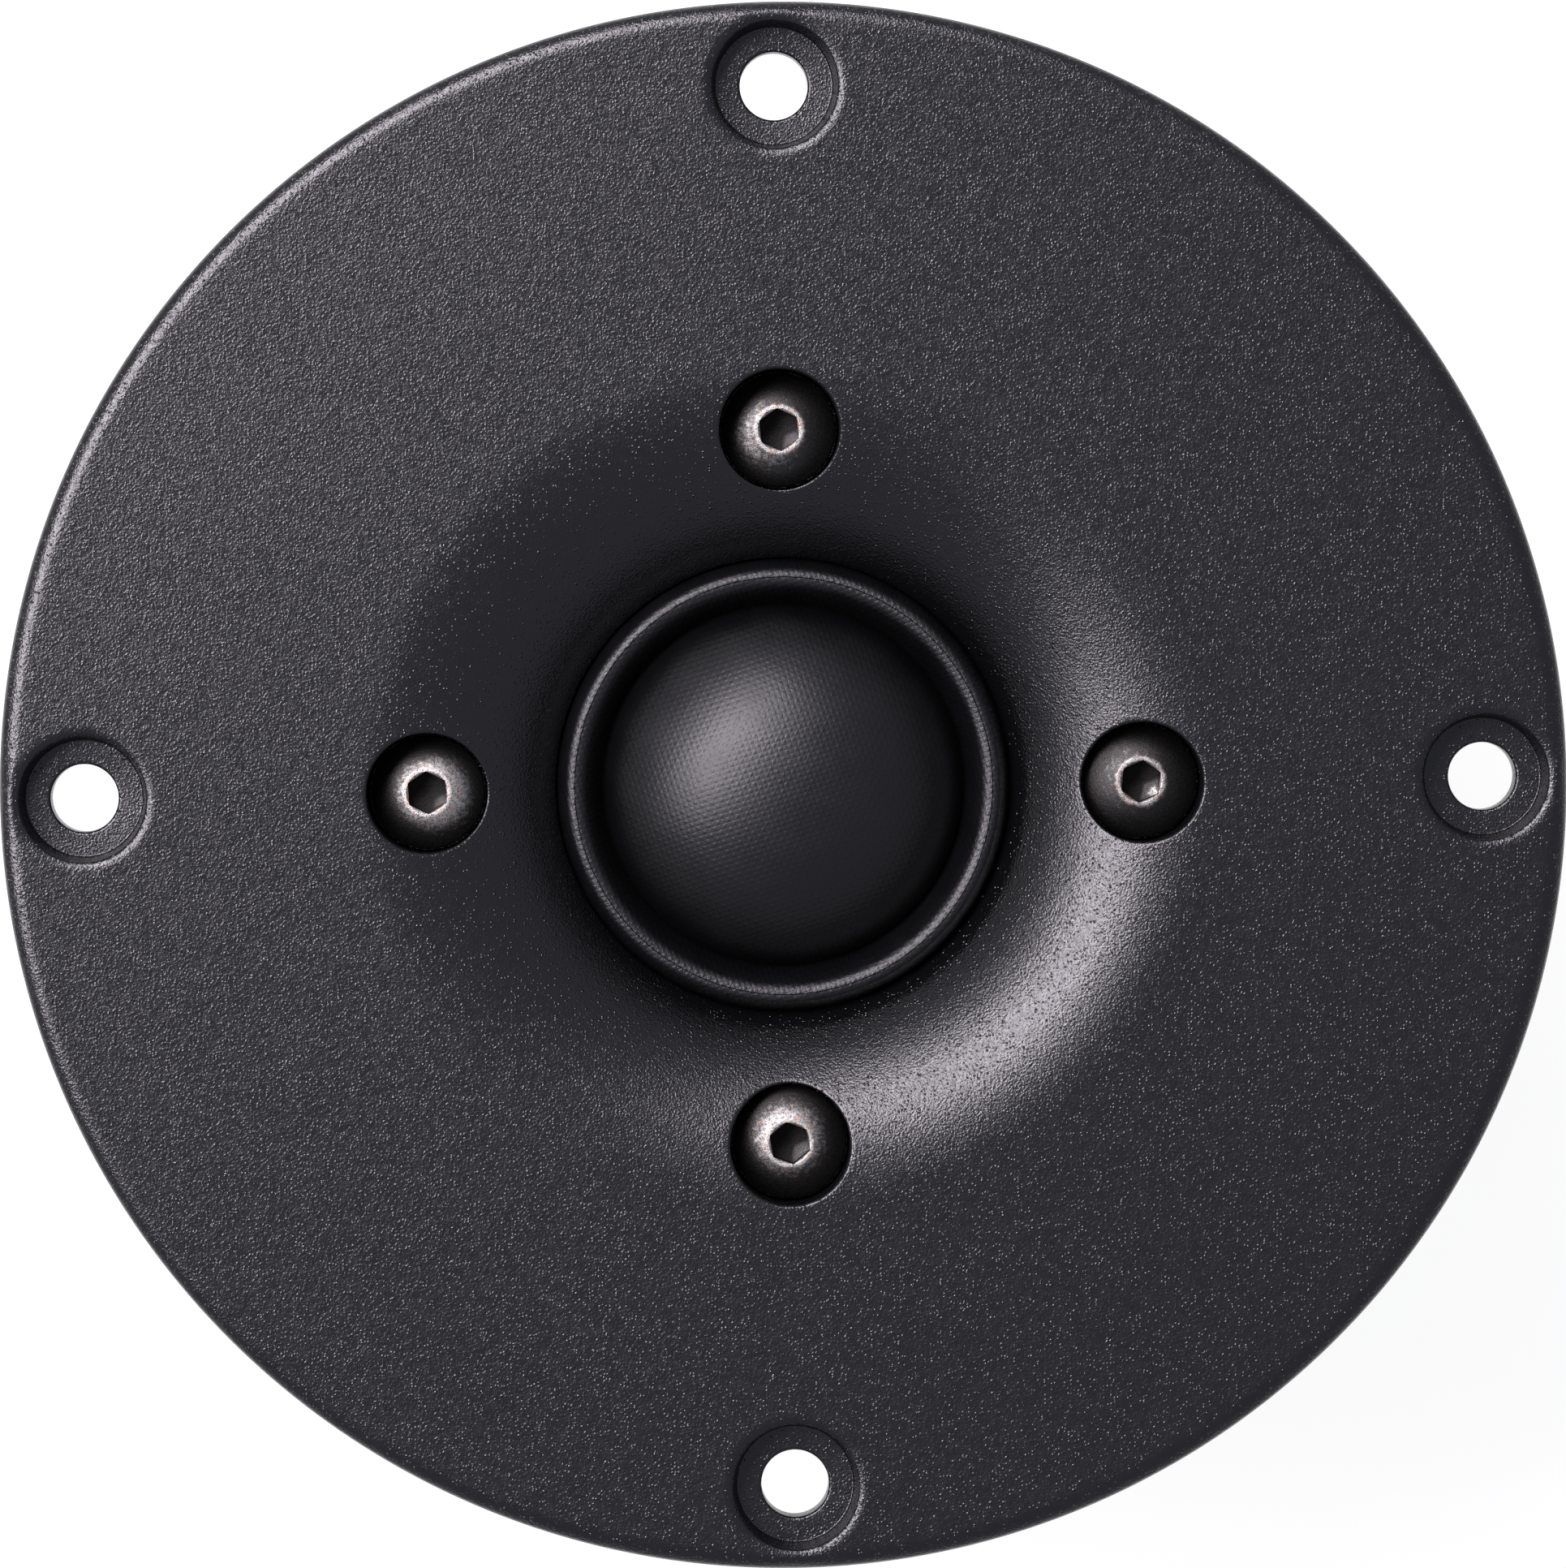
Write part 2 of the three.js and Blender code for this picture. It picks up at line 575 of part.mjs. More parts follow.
function topPlate() {
  const hole = () => bar(TAPPED_HOLE_RADIUS, TOP_PLATE_Z - 1, MOTOR_FRONT_Z + 1, SCREW_SIDES);
  const plate = ring(TOP_PLATE_BORE_RADIUS, BOSS_RADIUS, TOP_PLATE_Z, MOTOR_FRONT_Z, MOTOR_SIDES);
  return cut(plate, atQuarters(hole, SCREW_CIRCLE_RADIUS));
}

function magnet() {
  return turnedRing([
    corner(MAGNET_INNER_RADIUS, MAGNET_Z),
    corner(BOSS_RADIUS - MAGNET_CHAMFER, MAGNET_Z),
    corner(BOSS_RADIUS, MAGNET_Z + MAGNET_CHAMFER),
    corner(BOSS_RADIUS, TOP_PLATE_Z - MAGNET_CHAMFER),
    corner(BOSS_RADIUS - MAGNET_CHAMFER, TOP_PLATE_Z),
    corner(MAGNET_INNER_RADIUS, TOP_PLATE_Z),
  ], MOTOR_SIDES);
}

function backPlate() {
  return turnedRing([
    corner(BACK_PLATE_BORE_RADIUS, BACK_PLATE_Z),
    corner(BACK_PLATE_RADIUS - PLATE_CHAMFER, BACK_PLATE_Z),
    corner(BACK_PLATE_RADIUS, BACK_PLATE_Z + PLATE_CHAMFER),
    corner(BACK_PLATE_RADIUS, MAGNET_Z),
    corner(BACK_PLATE_BORE_RADIUS, MAGNET_Z),
  ], MOTOR_SIDES);
}

// Vented centre pole: spigot in the back plate, shoulder on it, and a stepped tip for the copper cap.
function polePiece() {
  return turnedRing([
    corner(VENT_RADIUS, BACK_PLATE_Z),
    corner(POLE_SPIGOT_RADIUS, BACK_PLATE_Z),
    corner(POLE_SPIGOT_RADIUS, MAGNET_Z),
    corner(POLE_RADIUS, MAGNET_Z),
    corner(POLE_RADIUS, POLE_TIP_Z),
    corner(POLE_TIP_RADIUS, POLE_TIP_Z),
    corner(POLE_TIP_RADIUS, POLE_TOP_Z),
    corner(VENT_MOUTH_RADIUS, POLE_TOP_Z),
    corner(VENT_RADIUS, POLE_TOP_Z - VENT_FLARE_DEPTH),
  ], COIL_SIDES);
}

function shortingCap() {
  return ring(CAP_INNER_RADIUS, CAP_OUTER_RADIUS, POLE_TIP_Z, POLE_TOP_Z, COIL_SIDES);
}

function poleDampingPad() {
  return ring(PAD_INNER_RADIUS, PAD_OUTER_RADIUS, POLE_TOP_Z, POLE_TOP_Z + PAD_THICKNESS, COIL_SIDES);
}

add('top_plate', topPlate(), zincSteel);
add('magnet', magnet(), ferrite);
add('back_plate', backPlate(), zincSteel);
add('pole_piece', polePiece(), zincSteel);
add('shorting_cap', shortingCap(), copper);
add('pole_damping_pad', poleDampingPad(), greyFelt);

// ---------------------------------------------------------------- rear chamber

function rearChamberCup() {
  return turned([
    corner(0, 0),
    ...arc(CUP_RADIUS - CUP_FILLET, CUP_FILLET, CUP_FILLET, CUP_FILLET, -90, 0, 3),
    corner(CUP_RADIUS, CUP_HEIGHT),
    corner(CUP_RADIUS - CUP_WALL, CUP_HEIGHT),
    corner(CUP_RADIUS - CUP_WALL, CUP_FLOOR),
    corner(0, CUP_FLOOR),
  ], MOTOR_SIDES);
}

function cupSealRing() {
  return ring(SEAL_INNER_RADIUS, CUP_RADIUS, CUP_HEIGHT, BACK_PLATE_Z, MOTOR_SIDES);
}

function chamberDampingFoam() {
  return bar(FOAM_RADIUS, FOAM_BOTTOM_Z, FOAM_TOP_Z, COIL_SIDES);
}

add('rear_chamber_cup', rearChamberCup(), blackPlastic);
add('cup_seal_ring', cupSealRing(), foamRubber);
add('chamber_damping_foam', chamberDampingFoam(), foamRubber);

export default tweeter;
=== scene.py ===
"""Looks of a flanged 25 mm soft-dome tweeter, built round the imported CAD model.

Metres, +Z out of the front, +Y up and +X right as seen from the front, origin at the bottom of the rear cup.
"""

import math

import bmesh
import bpy
from mathutils import Matrix, Vector, noise
from mathutils.geometry import delaunay_2d_cdt


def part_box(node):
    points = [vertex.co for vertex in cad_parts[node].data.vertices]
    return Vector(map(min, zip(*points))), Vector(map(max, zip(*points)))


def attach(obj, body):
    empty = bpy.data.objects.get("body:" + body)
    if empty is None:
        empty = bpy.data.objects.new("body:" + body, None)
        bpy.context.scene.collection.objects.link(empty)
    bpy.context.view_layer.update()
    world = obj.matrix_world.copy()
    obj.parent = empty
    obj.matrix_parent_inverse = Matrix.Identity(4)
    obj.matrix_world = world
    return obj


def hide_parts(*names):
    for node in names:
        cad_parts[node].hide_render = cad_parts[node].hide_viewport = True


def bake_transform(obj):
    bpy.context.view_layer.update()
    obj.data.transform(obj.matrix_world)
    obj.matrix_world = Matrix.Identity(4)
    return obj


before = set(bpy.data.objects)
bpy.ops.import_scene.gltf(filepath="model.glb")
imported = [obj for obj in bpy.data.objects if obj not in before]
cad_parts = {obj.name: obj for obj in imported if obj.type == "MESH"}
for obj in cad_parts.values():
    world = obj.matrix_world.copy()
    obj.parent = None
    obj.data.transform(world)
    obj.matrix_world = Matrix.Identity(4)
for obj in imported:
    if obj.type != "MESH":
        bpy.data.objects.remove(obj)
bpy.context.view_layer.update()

MM = 0.001
TAU = 2 * math.pi

# --- places and sizes, read from the frame


def low(node):
    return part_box(node)[0]


def high(node):
    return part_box(node)[1]


def heights(node):
    return low(node).z, high(node).z


FACE_Z = high("faceplate").z
FLANGE_RADIUS = high("faceplate").x
BOSS_BOTTOM_Z = low("faceplate").z
FLANGE_REAR_Z = high("mounting_gasket").z
GASKET_REAR_Z = low("mounting_gasket").z
BOSS_RADIUS = high("top_plate").x
CARRIER_FRONT_Z = high("diaphragm_frame").z
SCREW_CIRCLE = (high("faceplate_screw_right").x + low("faceplate_screw_right").x) / 2
SCREW_HEAD_RADIUS = (high("faceplate_screw_right").x - low("faceplate_screw_right").x) / 2
SCREW_TOP_Z = high("faceplate_screw_right").z
SCREW_END_Z = low("faceplate_screw_right").z
DOME_TOP_Z = high("dome").z
DOME_RIM_Z = low("dome").z
DOME_RIM_RADIUS = high("dome").x
ROLL_TOP_Z = high("surround").z

# --- sizes the frame's boxes don't show

TEXTILE = 0.3 * MM
CLAMP_Z = CARRIER_FRONT_Z + TEXTILE
SCREW_SEAT_Z = SCREW_TOP_Z - 2.2 * MM
SOCKET_DEPTH = 1.4 * MM
MOUNT_CIRCLE = 46.5 * MM
MOUNT_HOLE_RADIUS = 2.25 * MM
MOUNT_FLOOR_Z = FACE_Z - 2 * MM
MOUNT_FOOT_RADIUS = 3.9 * MM
MOUNT_WALL_RADIUS = 4.2 * MM
MOUNT_LIP_WIDTH = 0.7 * MM
MOUNT_LIP_DEPTH = 0.26 * MM
RIM_FILLET = 1 * MM
THROAT_RADIUS = 15.3 * MM
MOUTH_RADIUS = 28 * MM
WAVEGUIDE_RADIUS = 16.5 * MM
DOME_RADIUS = 12.75 * MM
DOME_RISE = 9.6 * MM
POCKET_RADIUS = 20.3 * MM
COUNTERBORE_RADIUS = 4 * MM
SCREW_HOLE_RADIUS = 2.2 * MM
ARM_TURN = math.radians(225)
CHANNEL_HALF_WIDTH = 9 * MM
CHANNEL_START = 18.1 * MM
CHANNEL_ROOF_Z = 40.9 * MM
ROLL_CENTRE = 14 * MM
ROLL_INNER_WIDTH = 1.86 * MM
ROLL_INNER_CREST = 0.88 * MM
ROLL_OUTER_WIDTH = 1.11 * MM
ROLL_OUTER_CREST = 0.64 * MM
ROLL_BASE_Z = CLAMP_Z + 0.3 * MM
LEAD_OFFSET = 4 * MM
SOLDER_ALONG = 21.5 * MM
RIVET_ALONG = 38.2 * MM
STRIP = 0.8 * MM
STRIP_TOP_Z = CARRIER_FRONT_Z + STRIP
RIM_SIDES = 384
HOLE_SIDES = 96
FRONT_SHEET_INNER = 16.4 * MM
FRONT_SHEET_OUTER = 51.8 * MM
MOUNT_SHEET_HOLE = 5 * MM
SCREW_SHEET_HOLE = 4.4 * MM

# --- mesh tools


def object_from(name, patches, sharp_degrees=35):
    """One closed mesh object from patches of (points, faces) whose shared rims coincide."""
    points, faces = [], []
    for patch_points, patch_faces in patches:
        start = len(points)
        points.extend(patch_points)
        faces.extend([tuple(start + i for i in face) for face in patch_faces])
    mesh = bpy.data.meshes.new(name)
    mesh.from_pydata([tuple(p) for p in points], [], faces)
    cleaned = bmesh.new()
    cleaned.from_mesh(mesh)
    bmesh.ops.remove_doubles(cleaned, verts=cleaned.verts, dist=1e-6)
    bmesh.ops.dissolve_degenerate(cleaned, dist=1e-7, edges=cleaned.edges)
    bmesh.ops.recalc_face_normals(cleaned, faces=cleaned.faces)
    cleaned.to_mesh(mesh)
    cleaned.free()
    item = added(name, mesh)
    smooth(item, sharp_degrees)
    return item


def added(name, data):
    item = bpy.data.objects.new(name, data)
    bpy.context.scene.collection.objects.link(item)
    return item


def smooth(item, sharp_degrees=35):
    """Smooth shading with sharp edges where the surface turns by more than sharp_degrees."""
    mesh = item.data
    mesh.shade_smooth()
    mesh.set_sharp_from_angle(angle=math.radians(sharp_degrees))


def rounded(corners, steps):
    """A profile of (radius, z, fillet) corners with each fillet drawn as an arc. Ends keep their corners."""
    out = []
    count = len(corners)
    for i, (x, z, fillet) in enumerate(corners):
        if fillet <= 0 or i in (0, count - 1):
            out.append((x, z))
            continue
        here = Vector((x, z))
        back = Vector(corners[i - 1][:2]) - here
        ahead = Vector(corners[i + 1][:2]) - here
        half = back.angle(ahead) / 2
        reach = min(fillet / math.tan(half), back.length * 0.49, ahead.length * 0.49)
        radius = reach * math.tan(half)
        start = here + back.normalized() * reach
        end = here + ahead.normalized() * reach
        centre = here + (back.normalized() + ahead.normalized()).normalized() * (radius / math.sin(half))
        a, b = start - centre, end - centre
        sweep = a.angle_signed(b)
        for step in range(steps + 1):
            turn = -sweep * step / steps
            c, s = math.cos(turn), math.sin(turn)
            out.append((centre.x + a.x * c - a.y * s, centre.y + a.x * s + a.y * c))
    return out


def loop_rounded(corners, steps):
    """rounded() for a profile that closes on itself."""
    middle_x = (corners[0][0] + corners[-1][0]) / 2
    middle_z = (corners[0][1] + corners[-1][1]) / 2
    seam = (middle_x, middle_z, 0)
    return rounded([seam, *corners, seam], steps)[:-1]


def ellipse(centre_r, centre_z, radius_r, radius_z, start, end, steps):
    """Profile points along an elliptical arc, angles in degrees from +radius towards +Z."""
    points = []
    for i in range(steps + 1):
        a = math.radians(start + (end - start) * i / steps)
        points.append((centre_r + radius_r * math.cos(a), centre_z + radius_z * math.sin(a)))
    return points


def lathe(profile, sides, closed=False, centre=(0, 0)):
    """Turns a profile of (radius, z) about a line parallel to Z; a radius of 0 gives a single vertex.

    z is a height or a function of x and y.
    """
    points, faces, rows = [], [], []
    for radius, z in profile:
        row = [centre] if radius < 1e-9 else circle(centre, radius, sides)
        rows.append(range(len(points), len(points) + len(row)))
        points.extend((x, y, height_at(z, x, y)) for x, y in row)
    for one, two in zip(rows, rows[1:] + rows[:1] if closed else rows[1:]):
        faces.extend(bridge(one, two, sides))
    return points, faces


def height_at(z, x, y):
    return z(x, y) if callable(z) else z


def bridge(one, two, sides):
    """Faces between two rows of vertices, either of which may be a single vertex."""
    faces = []
    for i in range(sides):
        j = (i + 1) % sides
        if len(one) == 1:
            faces.append((one[0], two[j], two[i]))
        elif len(two) == 1:
            faces.append((one[i], one[j], two[0]))
        else:
            faces.append((one[i], one[j], two[j], two[i]))
    return faces


def turned(name, profile, sides, closed=True, sharp_degrees=35, centre=(0, 0)):
    return object_from(name, [lathe(profile, sides, closed, centre)], sharp_degrees)


def circle(centre, radius, sides, turn=0.0):
    turns = [turn + TAU * i / sides for i in range(sides)]
    return [(centre[0] + radius * math.cos(a), centre[1] + radius * math.sin(a)) for a in turns]


def sheet_with_holes(inner, outer, holes, spacing, height):
    """A ring-shaped sheet between two circles about the axis, with round holes, lifted to height.

    holes are (centre, radius, sides); a hole's rim keeps exactly those vertices, so that its wall fits.
    """
    points, edges = [], []
    for centre, radius, sides in (((0, 0), outer, RIM_SIDES), ((0, 0), inner, RIM_SIDES), *holes):
        start = len(points)
        points.extend(circle(centre, radius, sides))
        edges.extend((start + i, start + (i + 1) % sides) for i in range(sides))
    rings = max(2, round((outer - inner) / spacing))
    for k in range(1, rings):
        radius = inner + (outer - inner) * k / rings
        count = max(48, round(TAU * radius / spacing))
        for i in range(count):
            a = TAU * (i + 0.5 * (k % 2)) / count
            x, y = radius * math.cos(a), radius * math.sin(a)
            if all(math.hypot(x - c[0], y - c[1]) > r + 0.3 * spacing for c, r, _ in holes):
                points.append((x, y))
    flat, _, triangles, *_ = delaunay_2d_cdt([Vector(p) for p in points], edges, [], 0, 1e-9)
    lifted = [(p.x, p.y, height_at(height, p.x, p.y)) for p in flat]
    faces = []
    for face in triangles:
        x = sum(flat[i].x for i in face) / len(face)
        y = sum(flat[i].y for i in face) / len(face)
        in_ring = inner < math.hypot(x, y) < outer
        if in_ring and all(math.hypot(x - c[0], y - c[1]) > r * math.cos(math.pi / s) for c, r, s in holes):
            faces.append(tuple(face))
    return lifted, faces


def at_quarters(radius):
    """The four points of a circle on +X, +Y, -X and -Y."""
    return circle((0, 0), radius, 4)


def boolean(item, tool, operation="DIFFERENCE"):
    """Cuts or joins a tool object and removes it."""
    step = item.modifiers.new("boolean", "BOOLEAN")
    step.operation = operation
    step.solver = "MANIFOLD"
    step.object = tool
    apply_modifiers(item)
    bpy.data.objects.remove(tool)
    return item


def apply_modifiers(item):
    evaluated = item.evaluated_get(bpy.context.evaluated_depsgraph_get())
    mesh = bpy.data.meshes.new_from_object(evaluated)
    item.modifiers.clear()
    item.data = mesh


def bevelled(item, width, segments, angle):
    """Small rounded edges wherever the surface turns by more than angle degrees."""
    step = item.modifiers.new("bevel", "BEVEL")
    step.width = width
    step.segments = segments
    step.limit_method = "ANGLE"
    step.angle_limit = math.radians(angle)
    step.use_clamp_overlap = True
    apply_modifiers(item)
    smooth(item)
    return item


def prism(name, outline, bottom, top):
    """An outline of (x, y) points made thick along Z."""
    count = len(outline)
    points = [(x, y, z) for z in (bottom, top) for x, y in outline]
    faces = [tuple(range(count))[::-1], tuple(range(count, 2 * count))]
    faces += bridge(range(count), range(count, 2 * count), count)
    return object_from(name, [(points, faces)])


def bar(name, centre, radius, bottom, top, sides=48):
    profile = [(0, bottom), (radius, bottom), (radius, top), (0, top)]
    return turned(name, profile, sides, False, centre=centre)


def arm_block(name, start, end, middle, width, bottom, top):
    """A box along the terminal arm, middle across it."""
    half = width / 2
    outline = [(start, middle - half), (end, middle - half), (end, middle + half), (start, middle + half)]
    return turn_to_arm(prism(name, outline, bottom, top))


def turn_to_arm(item):
    item.data.transform(Matrix.Rotation(ARM_TURN, 4, "Z"))
    return item


def arm_point(along, across, z):
    """A point given along and across the terminal arm."""
    c, s = math.cos(ARM_TURN), math.sin(ARM_TURN)
    return Vector((along * c - across * s, along * s + across * c, z))


def tube(name, centreline, radius):
    """A round tube with closed ends along a list of points."""
    sides = 16
    points, faces, rows = [], [], []
    up = Vector((0, 0, 1))
    for i, here in enumerate(centreline):
        ahead = centreline[min(i + 1, len(centreline) - 1)]
        behind = centreline[max(i - 1, 0)]
        along = (ahead - behind).normalized()
        side = along.cross(up).normalized()
        over = side.cross(along)
        rows.append(range(len(points), len(points) + sides))
        points.extend(tuple(here + side * x + over * y) for x, y in circle((0, 0), radius, sides))
    for one, two in zip(rows, rows[1:]):
        faces.extend(bridge(one, two, sides))
    faces += [tuple(rows[0]), tuple(rows[-1])]
    return object_from(name, [(points, faces)], 60)


def smooth_path(points, count):
    """count points along a Catmull-Rom curve through the given points."""
    padded = [points[0] * 2 - points[1], *points, points[-1] * 2 - points[-2]]
    path = []
    for i in range(count):
        t = i / (count - 1) * (len(points) - 1)
        k = min(int(t), len(points) - 2)
        u = t - k
        a, b, c, d = padded[k : k + 4]
        parabola = 2 * b + (c - a) * u + (2 * a - 5 * b + 4 * c - d) * u**2
        path.append(0.5 * (parabola + (3 * b - a - 3 * c + d) * u**3))
    return path


def low_radius(node):
    """Smallest distance of a CAD node's vertices from the axis."""
    return min(math.hypot(v.co.x, v.co.y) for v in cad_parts[node].data.vertices)


def ring(name, node, fillets, steps=6, sides=256, radii=None):
    """A ring or disc at its CAD node's height, and of its radii if no others are given.

    Its corners' fillets, in millimetres, are given from the lower inner to the upper inner corner.
    """
    inner, outer = radii or (low_radius(node), high(node).x)
    disc = inner < MM
    if disc:
        inner = 0
    bottom, top = heights(node)
    places = ((inner, bottom), (outer, bottom), (outer, top), (inner, top))
    corners = [(*place, fillet * MM) for place, fillet in zip(places, fillets)]
    return turned(name, rounded(corners, steps) if disc else loop_rounded(corners, steps), sides, not disc)


def vertex_values(item, name, value):
    """Stores value(point) on every vertex under name, for a material to read."""
    attribute = item.data.attributes.new(name, "FLOAT", "POINT")
    attribute.data.foreach_set("value", [value(v.co) for v in item.data.vertices])


# --- material tools


class Finish:
    """A principled material and the few node shorthands that the finishes below are made of."""

    def __init__(self, name, colour, roughness, metallic=0.0, specular=0.5):
        self.material = bpy.data.materials.new(name)
        self.material.use_nodes = True
        self.material.diffuse_color = (*colour, 1)
        self.nodes = self.material.node_tree.nodes
        self.shader = self.nodes["Principled BSDF"]
        self.set("Base Color", (*colour, 1))
        self.set("Roughness", roughness)
        self.set("Metallic", metallic)
        self.set("Specular IOR Level", specular)
        self.place = self.node("TexCoord", {})["Object"]

    def feed(self, socket, value):
        if isinstance(value, bpy.types.NodeSocket):
            self.material.node_tree.links.new(value, socket)
        else:
            socket.default_value = value

    def set(self, name, value):
        self.feed(self.shader.inputs[name], value)

    def node(self, kind, inputs, **settings):
        """The outputs of a new node, its settings made and its inputs fed."""
        node = self.nodes.new("ShaderNode" + kind)
        for name, value in settings.items():
            setattr(node, name, value)
        for name, value in inputs.items():
            self.feed(node.inputs[name], value)
        return node.outputs

    def noise(self, size, detail=2.0, roughness=0.5, place=None):
        """Noise whose features are about size metres across."""
        inputs = {"Vector": place or self.place, "Scale": 1 / size, "Detail": detail, "Roughness": roughness}
        return self.node("TexNoise", inputs)["Fac"]

    def cells(self, size):
        """Distance from the nearest of points scattered about size metres apart, and a number for each."""
        points = self.node("TexVoronoi", {"Vector": self.place, "Scale": 1 / size})
        return points["Distance"], self.node("SeparateColor", {"Color": points["Color"]})["Red"]

    def stretch(self, scale, turn):
        """The place on the object, turned by degrees about Z and then scaled along each axis."""
        rotation = (0, 0, math.radians(turn))
        return self.node("Mapping", {"Vector": self.place, "Scale": scale, "Rotation": rotation})["Vector"]

    def axes(self, vector):
        return self.node("SeparateXYZ", {"Vector": vector})

    def maths(self, operation, *values):
        return self.node("Math", dict(enumerate(values)), operation=operation)[0]

    def product(self, a, b):
        return self.maths("MULTIPLY", a, b)

    def span(self, value, low_in, high_in, low_out=0.0, high_out=1.0):
        """value, taken smoothly from one range to another and held at its ends."""
        inputs = {"Value": value, "From Min": low_in, "From Max": high_in}
        inputs |= {"To Min": low_out, "To Max": high_out}
        return self.node("MapRange", inputs, interpolation_type="SMOOTHSTEP")["Result"]

    def colours(self, share, one, two):
        """A mix of two colours; each is three numbers or another mix."""
        node = self.nodes.new("ShaderNodeMix")
        node.data_type = "RGBA"
        self.feed(node.inputs["Factor"], share)
        coloured = [socket for socket in node.inputs if socket.type == "RGBA"]
        for socket, colour in zip(coloured, (one, two)):
            self.feed(socket, (*colour, 1) if isinstance(colour, tuple) else colour)
        return next(socket for socket in node.outputs if socket.type == "RGBA")

    def paint(self, share, one, two):
        self.set("Base Color", self.colours(share, one, two))

    def roughen(self, field, low_out, high_out):
        self.set("Roughness", self.span(field, 0.3, 0.7, low_out, high_out))

    def relief(self, *layers):
        """A bumped normal from layers of (field of 0 to 1, millimetres that it stands for)."""
        total = 0.0
        for field, depth in layers:
            total = self.maths("MULTIPLY_ADD", field, depth, total)
        self.bump(total, MM)

    def bump(self, height, depth, strength=1.0):
        """A bumped normal from a height of 0 to 1 that stands for depth metres."""
        inputs = {"Height": height, "Distance": depth, "Strength": strength}
        self.set("Normal", self.node("Bump", inputs)["Normal"])


def put(item, finish, node, body="motor"):
    """Gives a piece its material and its body, if rigid, and hides the CAD node that it stands for."""
    item.data.materials.clear()
    item.data.materials.append(finish.material)
    if body:
        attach(item, body)
    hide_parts(node)
    return item


# --- finishes


def powder_coat():
    """Textured black powder coat: satin skin, fine pebbles and taller grains; smoother in the throat."""
    coat = Finish("powder_coat", (0.002, 0.002, 0.002), 0.27)
    skin = coat.noise(0.07 * MM, 1)
    pebbles = coat.noise(0.16 * MM, 1.5)
    swell = coat.noise(0.6 * MM, 2)
    distance, chance = coat.cells(0.22 * MM)
    height = coat.maths("POWER", chance, 2)
    grains = coat.product(coat.span(distance, 0.05, 0.45, 1, 0), height)
    coat.relief((skin, 0.009), (pebbles, 0.04), (grains, 0.046), (swell, 0.01))
    patches = coat.noise(9 * MM, 3)
    coat.paint(patches, (0.0013, 0.0013, 0.0015), (0.0018, 0.0018, 0.002))
    out_of_throat = coat.span(coat.axes(coat.place)["Z"], 41 * MM, 43.2 * MM, 0.55, 1)
    coat.set("Roughness", coat.product(coat.span(swell, 0.3, 0.7, 0.3, 0.24), out_of_throat))
    return coat


def coated_textile(name, specular, knot_depth, fibre_depth):
    """Woven cloth under a thin damping coat: plain weave a third of a millimetre in pitch.

    The coat is less shiny low on the cloth, towards the roll's inner valley: a painted shade there.
    """
    cloth = Finish(name, (0.0012, 0.0012, 0.0014), 0.4)
    pitch = 0.34 * MM
    weave_turn = -17
    across = cloth.axes(cloth.stretch((math.pi / pitch,) * 3, weave_turn))
    one = cloth.maths("SINE", across["X"])
    two = cloth.maths("SINE", across["Y"])
    knots = cloth.product(cloth.maths("ABSOLUTE", one), cloth.maths("ABSOLUTE", two))
    crossing = cloth.product(one, two)
    fibres = cloth.noise(0.09 * MM, 2)
    cloth.relief((knots, knot_depth), (crossing, 0.4 * knot_depth), (fibres, fibre_depth))
    coat = cloth.noise(2.4 * MM, 3)
    cloth.paint(coat, (0.001, 0.001, 0.0012), (0.0015, 0.0015, 0.0017))
    cloth.roughen(coat, 0.37, 0.42)
    height = cloth.axes(cloth.place)["Z"]
    # Reflection turned down towards the cloth's foot: painted shade in the roll's inner valley.
    shine_with_painted_valley_shade = cloth.span(height, DOME_RIM_Z + MM, ROLL_TOP_Z, 0.36 * specular, specular)
    cloth.set("Specular IOR Level", shine_with_painted_valley_shade)
    return cloth


def black_oxide():
    """Black oxide on steel, worn bright where the mesh's value of wear and painted light is high, and
    painted darker than the oxide where it is low, a painted shade in the socket.
    """
    steel = Finish("black_oxide", (0.05, 0.048, 0.046), 0.4, 1.0)
    wear_and_painted_light = steel.node("Attribute", {}, attribute_name="wear_and_painted_light")["Fac"]
    blotches = steel.noise(0.32 * MM, 5, 0.75)
    scuffs = steel.noise(0.09 * MM, 3, 0.6)
    pits = steel.span(steel.noise(0.11 * MM, 2), 0.56, 0.63)
    patchy = steel.product(steel.maths("SUBTRACT", blotches, 0.5), 1.4)
    # Bare metal where the head is worn, and in the socket where a painted highlight faces the light.
    worn_and_painted_glint = steel.span(steel.maths("ADD", wear_and_painted_light, patchy), 0.2, 1.05)
    oxide = steel.colours(scuffs, (0.022, 0.0215, 0.0215), (0.06, 0.057, 0.054))
    rusty = steel.span(steel.noise(0.45 * MM, 3), 0.54, 0.66)
    tinted = steel.colours(rusty, (0.4, 0.385, 0.36), (0.44, 0.3, 0.24))
    crown = steel.colours(worn_and_painted_glint, oxide, tinted)
    pitted = steel.colours(steel.product(pits, 0.8), crown, (0.03, 0.03, 0.03))
    # Where the value is low, in the socket, the steel is painted darker than the oxide: painted shade.
    painted_socket_shade = steel.span(wear_and_painted_light, -0.6, -0.1, 1, 0)
    steel.paint(painted_socket_shade, pitted, (0.01, 0.0095, 0.009))
    steel.set("Roughness", steel.span(scuffs, 0.25, 0.75, 0.4, 0.54))
    steel.relief((scuffs, 0.024), (blotches, 0.024))
    return steel


